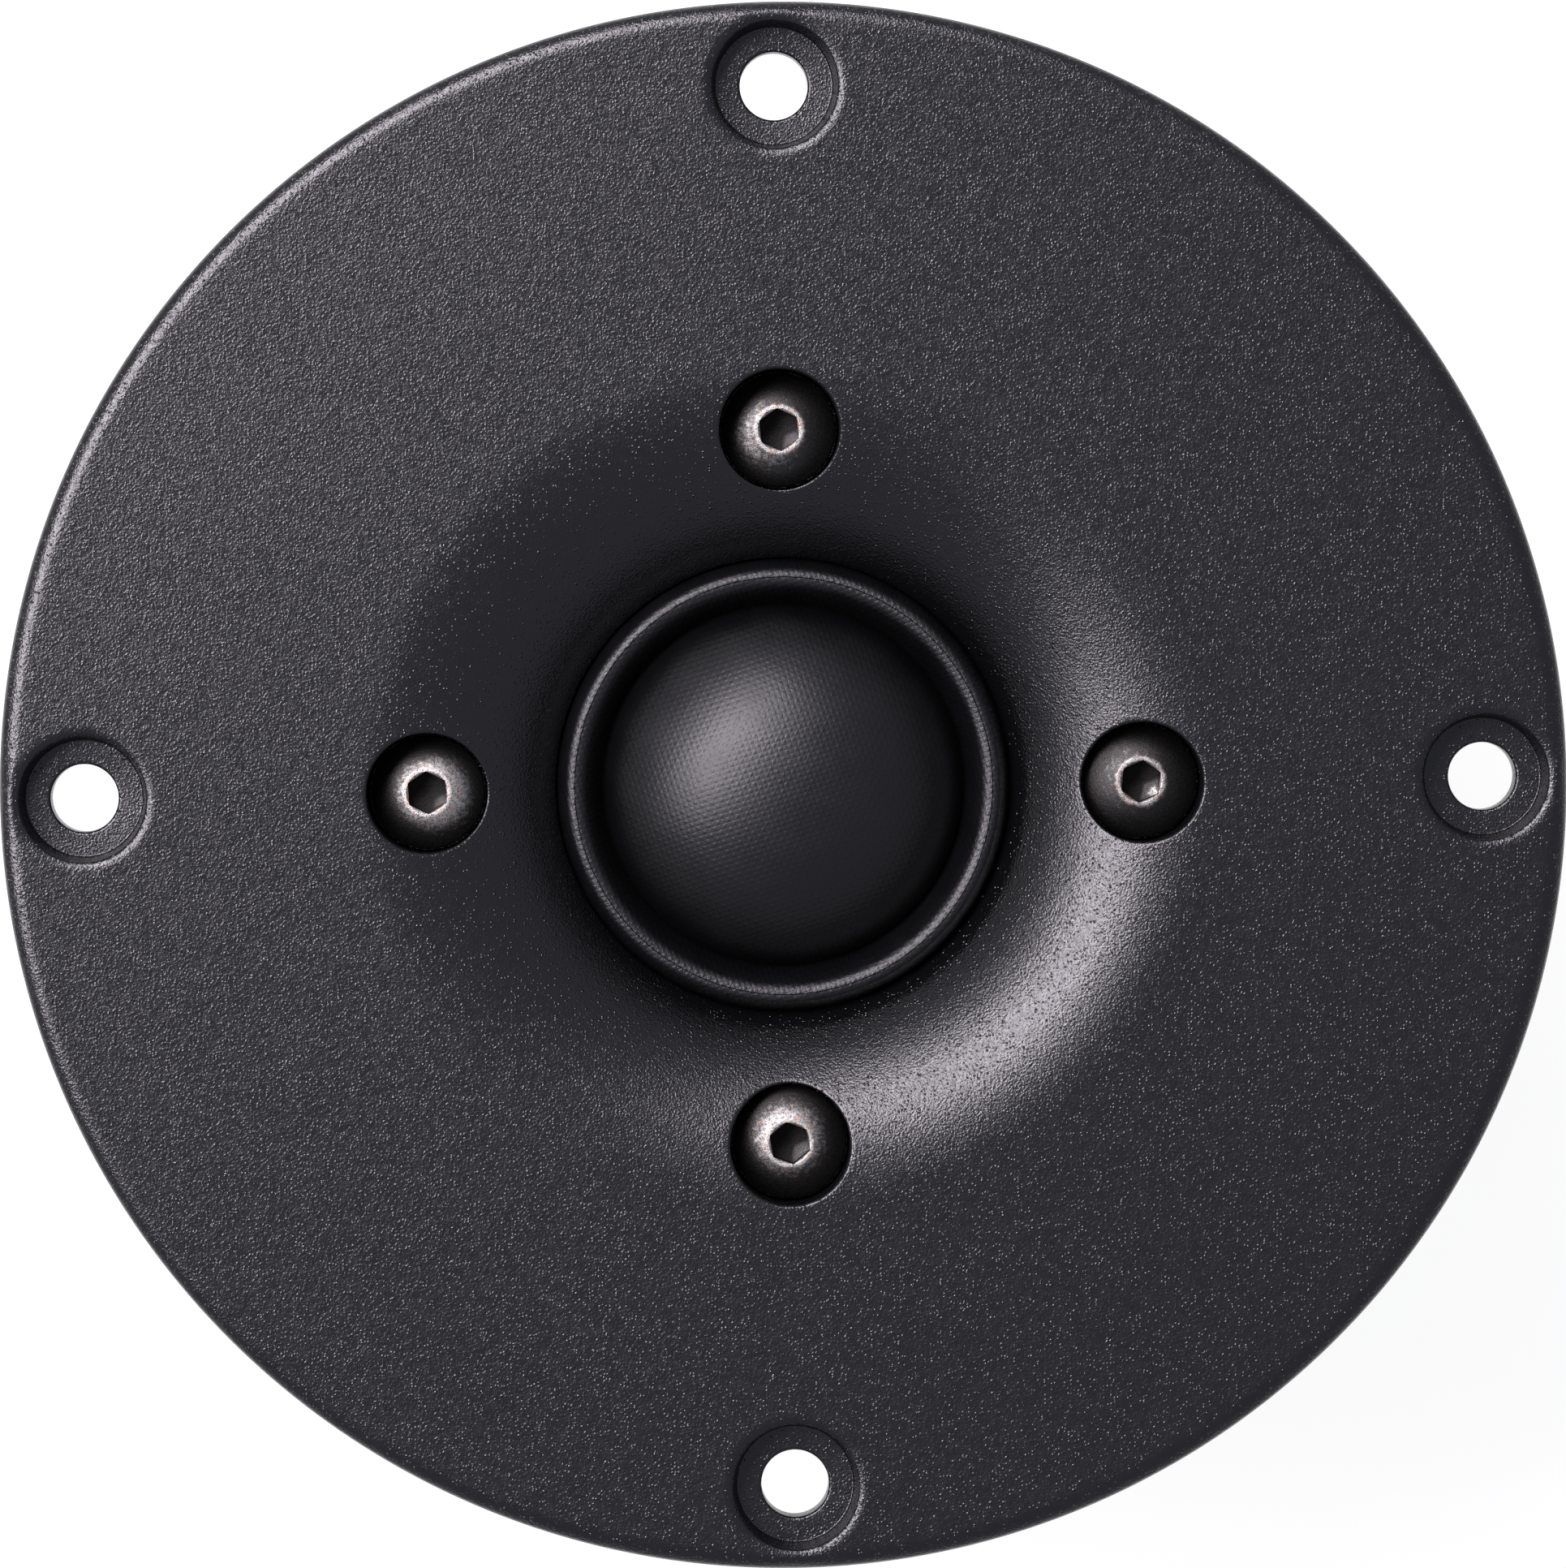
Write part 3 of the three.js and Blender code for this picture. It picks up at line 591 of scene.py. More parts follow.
def zinc_plate():
    """Zinc-plated steel with the faint rings and blotches of plated pressings."""
    steel = Finish("zinc_plate", (0.42, 0.41, 0.385), 0.32, 1.0)
    bands = steel.noise(0.35 * MM, 3, 0.6, steel.stretch((0.15, 0.15, 2.5), 0))
    blotches = steel.noise(6 * MM, 4)
    steel.paint(blotches, (0.36, 0.352, 0.33), (0.5, 0.49, 0.465))
    steel.roughen(bands, 0.26, 0.42)
    steel.bump(bands, 0.012 * MM, 0.5)
    return steel


def ferrite():
    """Sintered ferrite: matte charcoal with fine grain and pale rubbed specks."""
    stone = Finish("ferrite", (0.04, 0.04, 0.043), 0.55)
    grain = stone.noise(0.22 * MM, 4, 0.65)
    pits = stone.span(stone.cells(1.5 * MM)[0], 0.02, 0.16)
    specks = stone.span(stone.noise(0.6 * MM, 4, 0.7), 0.62, 0.78)
    ground = stone.colours(stone.noise(7 * MM, 3), (0.03, 0.03, 0.032), (0.052, 0.052, 0.056))
    stone.paint(specks, ground, (0.12, 0.118, 0.115))
    stone.roughen(grain, 0.45, 0.68)
    height = stone.maths("ADD", stone.product(grain, 0.6), stone.product(pits, 0.5))
    stone.bump(height, 0.05 * MM, 0.6)
    return stone


def moulded_plastic():
    """Black moulded plastic with a fine spark-eroded grain."""
    plastic = Finish("moulded_plastic", (0.018, 0.018, 0.02), 0.42)
    grain = plastic.noise(0.16 * MM, 3, 0.6)
    plastic.bump(grain, 0.02 * MM, 0.5)
    rub = plastic.noise(5 * MM, 4)
    plastic.paint(rub, (0.014, 0.014, 0.016), (0.026, 0.026, 0.028))
    plastic.roughen(rub, 0.36, 0.5)
    return plastic


def bare_metal(name, dark, light, size, roughness):
    """A metal with tarnish blotches of the given size and fine handling marks."""
    metal = Finish(name, light, roughness, 1.0)
    marks = metal.noise(0.12 * MM, 3, 0.6)
    metal.paint(metal.noise(size, 4), dark, light)
    metal.roughen(marks, roughness * 0.8, roughness * 1.4)
    metal.bump(marks, 0.008 * MM, 0.5)
    return metal


def tinsel_braid():
    """Fine copper braid round a fibre core."""
    braid = Finish("tinsel_braid", (0.5, 0.26, 0.14), 0.35, 1.0)
    axes = braid.axes(braid.stretch((9 / MM,) * 3, 45))
    one = braid.maths("SINE", braid.maths("ADD", axes["X"], axes["Z"]))
    two = braid.maths("SINE", braid.maths("SUBTRACT", axes["X"], axes["Z"]))
    strands = braid.product(one, two)
    braid.bump(strands, 0.03 * MM, 0.8)
    # The grooves between strands are painted darker than their crowns: painted shade.
    painted_groove_shade = braid.span(strands, -0.6, 0.6)
    braid.paint(painted_groove_shade, (0.3, 0.15, 0.08), (0.68, 0.38, 0.22))
    return braid


def wound_wire():
    """Enamelled wire wound in close turns."""
    wire = Finish("wound_wire", (0.45, 0.17, 0.07), 0.28, 1.0)
    pitch = 0.12 * MM
    turns = wire.maths("SINE", wire.product(wire.axes(wire.place)["Z"], TAU / pitch))
    wire.bump(turns, 0.03 * MM, 0.8)
    shade = wire.noise(1.5 * MM, 3)
    wire.paint(shade, (0.36, 0.12, 0.05), (0.55, 0.22, 0.09))
    return wire


def foam(name, size, dark, light, depth):
    """Foam with cells of the given size."""
    soft = Finish(name, light, 0.9, 0.0, 0.2)
    pores = soft.cells(size)[0]
    # The pores' pits are painted dark against lighter cell walls: painted shade.
    soft.paint(soft.span(pores, 0.1, 0.6), dark, light)
    soft.bump(soft.maths("ADD", pores, soft.noise(size * 0.4, 3)), depth, 0.9)
    return soft


def felt():
    """Pressed grey felt: short tangled fibres."""
    wool = Finish("felt", (0.18, 0.18, 0.185), 0.95, 0.0, 0.15)
    one = wool.noise(0.12 * MM, 4, 0.7, wool.stretch((1, 0.2, 1), 25))
    two = wool.noise(0.12 * MM, 4, 0.7, wool.stretch((0.2, 1, 1), 25))
    fibres = wool.product(one, two)
    # Darker where the fibres' bump is low, between them: painted shade.
    shade = wool.span(fibres, 0.15, 0.4)
    wool.paint(shade, (0.1, 0.1, 0.105), (0.26, 0.26, 0.265))
    wool.bump(fibres, 0.1 * MM, 0.9)
    wool.set("Sheen Weight", 0.3)
    return wool


# --- faceplate


def front_height(x, y):
    """The front surface without its holes: waveguide of circular section, flat face, rounded rim."""
    r = math.hypot(x, y)
    if r < MOUTH_RADIUS:
        return FACE_Z - WAVEGUIDE_RADIUS + math.sqrt(WAVEGUIDE_RADIUS**2 - (MOUTH_RADIUS - r) ** 2)
    flat_edge = FLANGE_RADIUS - RIM_FILLET
    if r <= flat_edge:
        return FACE_Z
    u = min(1.0, (r - flat_edge) / RIM_FILLET)
    return FACE_Z - RIM_FILLET * (1 - math.sqrt(1 - u * u))


def face_height(x, y):
    """front_height with the rounded lips of the mounting recesses."""
    z = front_height(x, y)
    for cx, cy in at_quarters(MOUNT_CIRCLE):
        inward = (MOUNT_WALL_RADIUS + MOUNT_LIP_WIDTH - math.hypot(x - cx, y - cy)) / MOUNT_LIP_WIDTH
        if inward > 0:
            z -= MOUNT_LIP_DEPTH * (1 - math.sqrt(max(0.0, 1 - inward * inward)))
    return z


def mounting_recess(centre):
    """From the front sheet over the rounded lip, down the recess and through the flange."""
    lip = (5, 4.9, 4.8, 4.7, 4.6, 4.5, 4.42, 4.35, 4.3, 4.25, 4.22, 4.2)
    lower = [
        (MOUNT_WALL_RADIUS, FACE_Z - MOUNT_LIP_DEPTH, 0),
        (MOUNT_FOOT_RADIUS, MOUNT_FLOOR_Z, 0.12 * MM),
        (MOUNT_HOLE_RADIUS, MOUNT_FLOOR_Z, 0.22 * MM),
        (MOUNT_HOLE_RADIUS, FLANGE_REAR_Z, 0),
    ]
    rings = [(distance * MM, face_height) for distance in lip]
    return lathe(rings + rounded(lower, 6)[1:], HOLE_SIDES, False, centre)


def counterbore(centre):
    """From the front sheet over a small round, down the counterbore and through the boss."""
    edge_round = 0.2 * MM

    def wall(drop, share=1.0):
        """A height so far below the front surface, or a share of the way up to it from the seat."""
        return lambda x, y: SCREW_SEAT_Z + (front_height(x, y) - drop - SCREW_SEAT_Z) * share

    rings = [(SCREW_SHEET_HOLE, front_height)]
    for a in (math.radians(15 * step) for step in range(7)):
        distance = COUNTERBORE_RADIUS + edge_round * (1 - math.sin(a))
        rings.append((distance, wall(edge_round * (1 - math.cos(a)))))
    rings += [(COUNTERBORE_RADIUS, wall(edge_round, share)) for share in (0.75, 0.5, 0.25)]
    lower = [
        (COUNTERBORE_RADIUS, SCREW_SEAT_Z + 0.4 * MM, 0),
        (COUNTERBORE_RADIUS, SCREW_SEAT_Z, 0.15 * MM),
        (SCREW_HOLE_RADIUS, SCREW_SEAT_Z, 0),
        (SCREW_HOLE_RADIUS, BOSS_BOTTOM_Z, 0),
    ]
    return lathe(rings + rounded(lower, 4), HOLE_SIDES, False, centre)


def flange_edge(back_radius):
    """Rim from the front sheet's outer edge round to the chamfered back of the flange."""
    centre = FLANGE_RADIUS - RIM_FILLET
    start = math.degrees(math.acos((FRONT_SHEET_OUTER - centre) / RIM_FILLET))
    rim = ellipse(centre, FACE_Z - RIM_FILLET, RIM_FILLET, RIM_FILLET, start, 0, 12)
    rim[0] = (FRONT_SHEET_OUTER, front_height(FRONT_SHEET_OUTER, 0))
    edge = [
        (FLANGE_RADIUS, FACE_Z - 2 * MM, 0),
        (FLANGE_RADIUS, FLANGE_REAR_Z + FLANGE_RADIUS - back_radius, 0.2 * MM),
        (back_radius, FLANGE_REAR_Z, 0),
    ]
    return lathe(rim + rounded(edge, 3), RIM_SIDES)


def boss_side(top_radius, seat_radius):
    """Side of the boss behind the flange, with a fillet at its root and a rounded edge."""
    boss = [
        (top_radius, FLANGE_REAR_Z, 0),
        (BOSS_RADIUS, FLANGE_REAR_Z - 0.4 * MM, 0.3 * MM),
        (BOSS_RADIUS, BOSS_BOTTOM_Z, 0.25 * MM),
        (seat_radius, BOSS_BOTTOM_Z, 0),
    ]
    return lathe(rounded(boss, 4), RIM_SIDES)


def pocket_and_throat():
    """Pocket, throat and the foot of the waveguide up to the front sheet's inner edge."""
    pocket = [
        (POCKET_RADIUS, BOSS_BOTTOM_Z, 0),
        (POCKET_RADIUS, CLAMP_Z, 0),
        (THROAT_RADIUS, CLAMP_Z, 0),
        (THROAT_RADIUS, front_height(THROAT_RADIUS, 0), 0),
    ]
    foot = [THROAT_RADIUS + (FRONT_SHEET_INNER - THROAT_RADIUS) * i / 8 for i in range(1, 9)]
    return lathe(rounded(pocket, 4) + [(r, front_height(r, 0)) for r in foot], RIM_SIDES)


def faceplate():
    """Closed casting: lifted front sheet, the walls of each hole, rim, flange back, boss and throat."""
    mounts, screws = at_quarters(MOUNT_CIRCLE), at_quarters(SCREW_CIRCLE)
    front_holes = [(centre, MOUNT_SHEET_HOLE, HOLE_SIDES) for centre in mounts]
    front_holes += [(centre, SCREW_SHEET_HOLE, HOLE_SIDES) for centre in screws]
    back_holes = [(centre, MOUNT_HOLE_RADIUS, HOLE_SIDES) for centre in mounts]
    seat_holes = [(centre, SCREW_HOLE_RADIUS, HOLE_SIDES) for centre in screws]
    back = FLANGE_RADIUS - 0.5 * MM
    root = BOSS_RADIUS + 0.4 * MM
    seat = BOSS_RADIUS - 0.5 * MM
    # Inner and outer radius, holes, spacing of the vertices and height of the casting's three sheets.
    front_sheet = (FRONT_SHEET_INNER, FRONT_SHEET_OUTER, front_holes, 0.55 * MM, face_height)
    back_sheet = (root, back, back_holes, 1.6 * MM, FLANGE_REAR_Z)
    seat_sheet = (POCKET_RADIUS, seat, seat_holes, 1.4 * MM, BOSS_BOTTOM_Z)
    patches = [
        sheet_with_holes(*front_sheet),
        *(mounting_recess(centre) for centre in mounts),
        *(counterbore(centre) for centre in screws),
        flange_edge(back),
        sheet_with_holes(*back_sheet),
        boss_side(root, seat),
        sheet_with_holes(*seat_sheet),
        pocket_and_throat(),
    ]
    casting = object_from("faceplate_casting", patches, 40)
    end, width = BOSS_RADIUS + 0.35 * MM, 2 * CHANNEL_HALF_WIDTH
    boolean(casting, arm_block("channel", CHANNEL_START, end, 0, width, BOSS_BOTTOM_Z - MM, CHANNEL_ROOF_Z))
    smooth(casting, 40)
    return casting


def mounting_gasket():
    """Foam ring with a slightly crushed edge, punched for the four mounting screws."""
    gasket = ring("flange_gasket", "mounting_gasket", (0.25, 0.25, 0, 0), 5)
    for centre in at_quarters(MOUNT_CIRCLE):
        boolean(gasket, bar("punch", centre, 2.6 * MM, GASKET_REAR_Z - MM, FLANGE_REAR_Z + MM, 64))
    smooth(gasket)
    return gasket


# --- faceplate screws


def screw_blank():
    """Button head over a threaded shank, about the Z axis."""
    sides = 96
    thread_depth, pitch = 0.38 * MM, 0.7 * MM
    shank, lead_in = 1.95 * MM, 0.5 * MM
    crown_radius, mouth = 5 * MM, 1.6 * MM
    centre_z = SCREW_TOP_Z - math.sqrt(crown_radius**2 - mouth**2)
    start, end = (math.degrees(math.acos(r / crown_radius)) for r in (SCREW_HEAD_RADIUS, 1.3 * MM))
    crown = ellipse(0, centre_z, crown_radius, crown_radius, start, end, 36)
    crown[0] = (SCREW_HEAD_RADIUS - 0.03 * MM, crown[0][1])
    crown.insert(0, (SCREW_HEAD_RADIUS, crown[0][1] - 0.06 * MM))
    # Radius, height and how deep the thread is cut, from 0 to 1.
    rows = [(0, SCREW_END_Z, 0), (shank - lead_in, SCREW_END_Z, 0)]
    steps, runout_steps = 112, 8
    top = SCREW_SEAT_Z - 0.9 * MM
    for i in range(steps + 1):
        z = SCREW_END_Z + 0.05 * MM + (top - SCREW_END_Z) * i / steps
        full = min(1.0, (z - SCREW_END_Z) / lead_in)
        rows.append((shank - 0.45 * MM * (1 - full), z, min(1.0, (steps - i) / runout_steps)))
    neck, under_head = 0.1 * MM, 0.12 * MM
    plain = [(shank, SCREW_SEAT_Z - neck), (shank + neck, SCREW_SEAT_Z)]
    plain += [(SCREW_HEAD_RADIUS - under_head, SCREW_SEAT_Z), (SCREW_HEAD_RADIUS, SCREW_SEAT_Z + under_head)]
    plain += [*crown, (0, crown[-1][1])]
    rows += [(r, z, 0) for r, z in plain]
    points, faces = lathe([(r, z) for r, z, _ in rows], sides)
    cut = [w for r, _, w in rows for _ in range(1 if r < 1e-9 else sides)]
    shaped = []
    for (x, y, z), weight in zip(points, cut):
        if weight > 0:
            phase = (z / pitch - math.atan2(y, x) / TAU) % 1
            groove = 1 - abs(2 * phase - 1)
            radius = math.hypot(x, y)
            scale = (radius - thread_depth * groove * weight) / radius
            x, y = x * scale, y * scale
        shaped.append((x, y, z))
    return object_from("screw_blank", [(shaped, faces)])


def socket_tool():
    """The hexagon socket, with its drilled cone below and its chamfered mouth."""
    corner_radius = 1.25 * MM / math.cos(math.pi / 6)
    corners = circle((0, 0), corner_radius, 6, math.radians(30))
    floor = SCREW_TOP_Z - SOCKET_DEPTH
    above = SCREW_TOP_Z + MM
    hexagon = prism("hexagon", corners, floor, above)
    drill_radius = 1.1 * MM
    drill = [(0, floor - 0.45 * MM), (drill_radius, floor + 0.02 * MM), (drill_radius, above), (0, above)]
    boolean(hexagon, turned("drill", drill, 48, False), "UNION")
    brim = SCREW_TOP_Z + 0.4 * MM
    mouth = [(0, floor), (1.42 * MM, SCREW_TOP_Z + 0.02 * MM), (1.5 * MM, brim), (0, brim)]
    boolean(hexagon, turned("mouth", mouth, 96, False), "UNION")
    return hexagon


def head_wear_and_painted_light(centre, worn, patch, painted_socket_glint):
    """Wear and painted light of a screw's head at a point: 1 is bare metal, 0 is oxide and -1 is painted
    shade.

    The mouth is worn all round and the crown about its patch; the socket is painted shade,
    lifted to a painted highlight where its wall and floor face the light.
    """
    # Millimetres, and the direction from the axis to the wall that faces the light.
    mouth_radius, mouth_depth, fade = 1.5, 0.2, 0.3
    lit_side = math.radians(-40)
    patch_x, patch_y = patch

    def wear_and_painted_light(point):
        x, y = (point.x - centre.x) / MM, (point.y - centre.y) / MM
        distance = math.hypot(x, y)
        depth = (SCREW_TOP_Z - point.z) / MM
        # Inside the socket: painted shade, lifted to a painted highlight on the side that faces the light.
        if distance < mouth_radius and depth > mouth_depth:
            facing = max(0.0, math.cos(math.atan2(y, x) - lit_side))
            return -1.0 + 1.7 * painted_socket_glint * facing**3 * min(1.0, distance)
        brim = math.exp(-((max(0.0, distance - mouth_radius) / fade) ** 2)) * (0.7 + 0.2 * worn)
        from_patch = math.hypot(x - patch_x, y - patch_y)
        crown = worn * max(0.0, min(0.9, 1.75 - 0.56 * from_patch))
        return max(brim, crown)

    return wear_and_painted_light


def faceplate_screws(finish):
    """Four identical screws, each turned and worn a little differently."""
    model = boolean(screw_blank(), socket_tool())
    bevelled(model, 0.06 * MM, 3, 24)
    for vertex in model.data.vertices:
        vertex.co.z = min(vertex.co.z, SCREW_TOP_Z)
    # Turn of the socket, how worn the head is, where the worn patch sits on it in millimetres, and how
    # bright the painted highlight on the far wall and floor of the socket is.
    screws = {
        "right": (-7, 0.3, (-0.6, 0.3), 1.0),
        "top": (5, 0.55, (-0.6, -0.35), 0.62),
        "left": (3, 1.0, (0.45, -0.15), 0.5),
        "bottom": (9, 0.85, (0.0, 0.3), 0.8),
    }
    for centre, (name, (turn, worn, patch, painted_socket_glint)) in zip(at_quarters(SCREW_CIRCLE), screws.items()):
        item = added(f"button_head_{name}", model.data.copy())
        place = Vector((*centre, 0))
        item.data.transform(Matrix.Translation(place) @ Matrix.Rotation(math.radians(turn), 4, "Z"))
        vertex_values(item, "wear_and_painted_light", head_wear_and_painted_light(place, worn, patch, painted_socket_glint))
        put(item, finish, f"faceplate_screw_{name}")
    bpy.data.objects.remove(model)


# --- diaphragm


def dome():
    """Half-ellipse cloth shell with its glued seat on the former."""
    centre_z = DOME_TOP_Z - DOME_RISE
    seat_z = DOME_RIM_Z + 0.2 * MM
    inner = (DOME_RADIUS - TEXTILE, DOME_RISE - TEXTILE)
    joint = math.degrees(math.asin((seat_z - centre_z) / DOME_RISE))
    inner_joint = math.degrees(math.asin((seat_z - centre_z) / inner[1]))
    under = ellipse(0, centre_z, *inner, 90, inner_joint, 40)
    under[0] = (0, DOME_TOP_Z - TEXTILE)
    seat = [(under[-1][0], DOME_RIM_Z), (DOME_RIM_RADIUS, DOME_RIM_Z), (DOME_RIM_RADIUS, seat_z)]
    shell = ellipse(0, centre_z, DOME_RADIUS, DOME_RISE, joint, 90, 64)
    shell[-1] = (0, DOME_TOP_Z)
    return turned("dome_cloth", under + seat + shell, 192, False, 50)


def roll_side(side, width, crest_radius, base_z, depth):
    """One side of the roll from crest to foot, depth under its face: a round crest, then a straight flank.

    The flank's angle is found by halving, so that it meets the crest's round without a corner.
    """
    height = ROLL_TOP_Z - base_z
    steep, upright = 0.0, math.pi / 2
    for _ in range(40):
        angle = (steep + upright) / 2
        run = width - crest_radius * math.sin(angle)
        drop = height - crest_radius * (1 - math.cos(angle))
        if drop > run * math.tan(angle):
            steep = angle
        else:
            upright = angle
    centre_z = base_z + height - crest_radius
    radius = crest_radius - depth
    crest_steps, flank_steps = 16, 5
    points = []
    for i in range(crest_steps + 1):
        a = steep * i / crest_steps
        points.append((ROLL_CENTRE + side * radius * math.sin(a), centre_z + radius * math.cos(a)))
    corner = points[-1]
    foot = (ROLL_CENTRE + side * (width - depth / math.sin(steep)), base_z)
    for i in range(1, flank_steps + 1):
        points.append(tuple(c + (f - c) * i / flank_steps for c, f in zip(corner, foot)))
    return points


def surround_halves():
    """The tall half-roll in two pieces that meet at its crest: clamped outside, moving inside."""
    flange = high("surround").x
    groove = 0.24 * MM
    outer = (1, ROLL_OUTER_WIDTH, ROLL_OUTER_CREST, ROLL_BASE_Z)
    outer_lining, outer_face = roll_side(*outer, TEXTILE), roll_side(*outer, 0)
    outer_profile = [
        *outer_lining,
        (outer_lining[-1][0], CARRIER_FRONT_Z),
        (flange, CARRIER_FRONT_Z),
        (flange, CLAMP_Z),
        (THROAT_RADIUS + 0.05 * MM, CLAMP_Z),
        (THROAT_RADIUS - 0.12 * MM, CLAMP_Z - groove),
        *outer_face[::-1],
    ]
    clamped = turned("surround_outer", outer_profile, 192, True, 50)
    inner = (-1, ROLL_INNER_WIDTH, ROLL_INNER_CREST, DOME_RIM_Z + 0.22 * MM)
    inner_profile = roll_side(*inner, TEXTILE)[::-1] + roll_side(*inner, 0)[1:]
    moving = turned("surround_inner", inner_profile, 192, True, 50)
    return clamped, moving


# --- carrier and terminals


def carrier():
    """Moulded ring and terminal arm with slots for the leads and holes for the rivets."""
    bottom, top = heights("diaphragm_frame")
    radii = (THROAT_RADIUS, 20 * MM)
    moulding = ring("carrier_moulding", "diaphragm_frame", (0, 0, 0.25, 0.25), 3, 128, radii)
    boolean(moulding, arm_block("arm", 17.5 * MM, 41 * MM, 0, 16 * MM, bottom, top), "UNION")
    for side in (1, -1):
        across = side * LEAD_OFFSET
        boolean(moulding, arm_block("slot", 13.5 * MM, 19.8 * MM, across, 1.4 * MM, top - MM, top + MM))
        boolean(moulding, bar("hole", arm_point(RIVET_ALONG, across, 0)[:2], MM, bottom - MM, top + MM))
    return bevelled(moulding, 0.15 * MM, 2, 40)


def terminal(name, width, middle):
    """Stamped strip bent back into a push-on blade, with its rivet and latch holes."""
    start, bottom = 20.4 * MM, CARRIER_FRONT_Z
    blade, tip = 41.2 * MM, low("terminal_positive").z
    bend, taper, tip_drop = 0.3 * MM, 0.28 * MM, 0.8 * MM
    outline = [(start, bottom)]
    outline += ellipse(blade - bend, bottom - bend, bend, bend, 90, 0, 6)
    outline += [(blade, tip + tip_drop), (blade + taper, tip)]
    outline += [(blade + STRIP - taper, tip), (blade + STRIP, tip + tip_drop)]
    outline += ellipse(blade - bend, bottom - bend, bend + STRIP, bend + STRIP, 0, 90, 12)
    outline += [(start, STRIP_TOP_Z)]
    strip = prism(name, outline, -width / 2, width / 2)
    strip.data.transform(Matrix.Translation((0, middle, 0)) @ Matrix.Rotation(math.pi / 2, 4, "X"))
    boolean(strip, bar("rivet_hole", (RIVET_ALONG, middle), MM, bottom - MM, STRIP_TOP_Z + MM))
    latch_radius, latch_z = 0.65 * MM, 30.6 * MM
    latch = bar("latch_hole", (0, 0), latch_radius, blade - MM, blade + 2 * MM)
    latch.data.transform(Matrix.Translation((0, middle, latch_z)) @ Matrix.Rotation(math.pi / 2, 4, "Y"))
    boolean(strip, latch)
    corner, over = 0.9 * MM, 0.1 * MM
    upright = Matrix(((0, 0, 1, 0), (1, 0, 0, 0), (0, 1, 0, 0), (0, 0, 0, 1)))
    for side in (1, -1):
        edge = middle + side * width / 2
        outside = edge + side * over
        outline = [(edge - side * corner, tip - over), (outside, tip - over), (outside, tip + corner)]
        wedge = prism("wedge", outline, blade - MM, blade + 2 * MM)
        wedge.data.transform(upright)
        boolean(strip, wedge)
    return turn_to_arm(bevelled(strip, 0.07 * MM, 2, 40))


def rivet(name, across):
    """Flat-headed rivet through strip and arm, with a dimpled set head."""
    centre = arm_point(RIVET_ALONG, across, 0)
    bottom, top = heights("terminal_rivet_positive")
    head, shank, dimple = 1.35 * MM, 0.8 * MM, 0.45 * MM
    corners = [
        (0, bottom + 0.12 * MM, 0),
        (dimple, bottom, 0.2 * MM),
        (head, bottom, 0.2 * MM),
        (head, BOSS_BOTTOM_Z, 0.05 * MM),
        (shank, BOSS_BOTTOM_Z, 0),
        (shank, STRIP_TOP_Z, 0),
        (head, STRIP_TOP_Z, 0.05 * MM),
        (head, top, 0.3 * MM),
        (0, top, 0),
    ]
    return turned(name, rounded(corners, 4), 48, False, 40, centre[:2])


def solder(name, across, seed):
    """A small uneven bead that wets the strip."""
    centre = arm_point(SOLDER_ALONG, across, 0)
    radius, height, steps = 1 * MM, 0.48 * MM, 14
    waves_per_metre, unevenness = 900, 0.05 * MM
    profile = [(0, STRIP_TOP_Z)]
    for i in range(steps + 1):
        share = 1 - i / steps
        profile.append((radius * share, STRIP_TOP_Z + height * math.cos(share * math.pi / 2) ** 0.8))
    bead = turned(name, profile, 40, False, 60, centre[:2])
    for vertex in bead.data.vertices:
        wobble = noise.noise(vertex.co * waves_per_metre + Vector((seed, 0, 0)))
        if vertex.co.z > STRIP_TOP_Z + 0.01 * MM:
            vertex.co.z -= unevenness * abs(wobble)
    return bead


def lead(name, across):
    """Tinsel lead from the former, under the surround, up to the solder bead."""
    # Millimetres out along the arm and up along the axis.
    stops = [(12.75, 38.3), (13.5, 38), (14.6, 38.55), (15.8, 38.85)]
    stops += [(17.6, 38.85), (18.8, 39.15), (19.5, 40.05), (20.1, 40.45)]
    path = smooth_path([arm_point(along * MM, across, z * MM) for along, z in stops], 56)
    return tube(name, path, 0.24 * MM)


# --- motor and rear chamber


def magnet_ring():
    """Ferrite ring with chamfered edges, slightly chipped."""
    bottom, top = heights("magnet")
    inner, outer = low_radius("magnet"), high("magnet").x
    chamfer, soft, bore = 0.7 * MM, 0.15 * MM, 0.2 * MM
    corners = [
        (inner, bottom, bore),
        (outer - chamfer, bottom, soft),
        (outer, bottom + chamfer, soft),
        (outer, top - chamfer, soft),
        (outer - chamfer, top, soft),
        (inner, top, bore),
    ]
    magnet = turned("ferrite_ring", loop_rounded(corners, 4), 384)
    chips_per_metre, chipped_above, deepest = 420, 0.42, 0.35 * MM
    for vertex in magnet.data.vertices:
        radius = math.hypot(vertex.co.x, vertex.co.y)
        if radius < outer - 1.5 * chamfer:
            continue
        rough = noise.fractal(vertex.co * chips_per_metre, 0.8, 2.1, 4)
        chip = max(0.0, rough - chipped_above) * 0.9 * MM
        scale = (radius - min(chip, deepest)) / radius
        vertex.co.x *= scale
        vertex.co.y *= scale
    return magnet


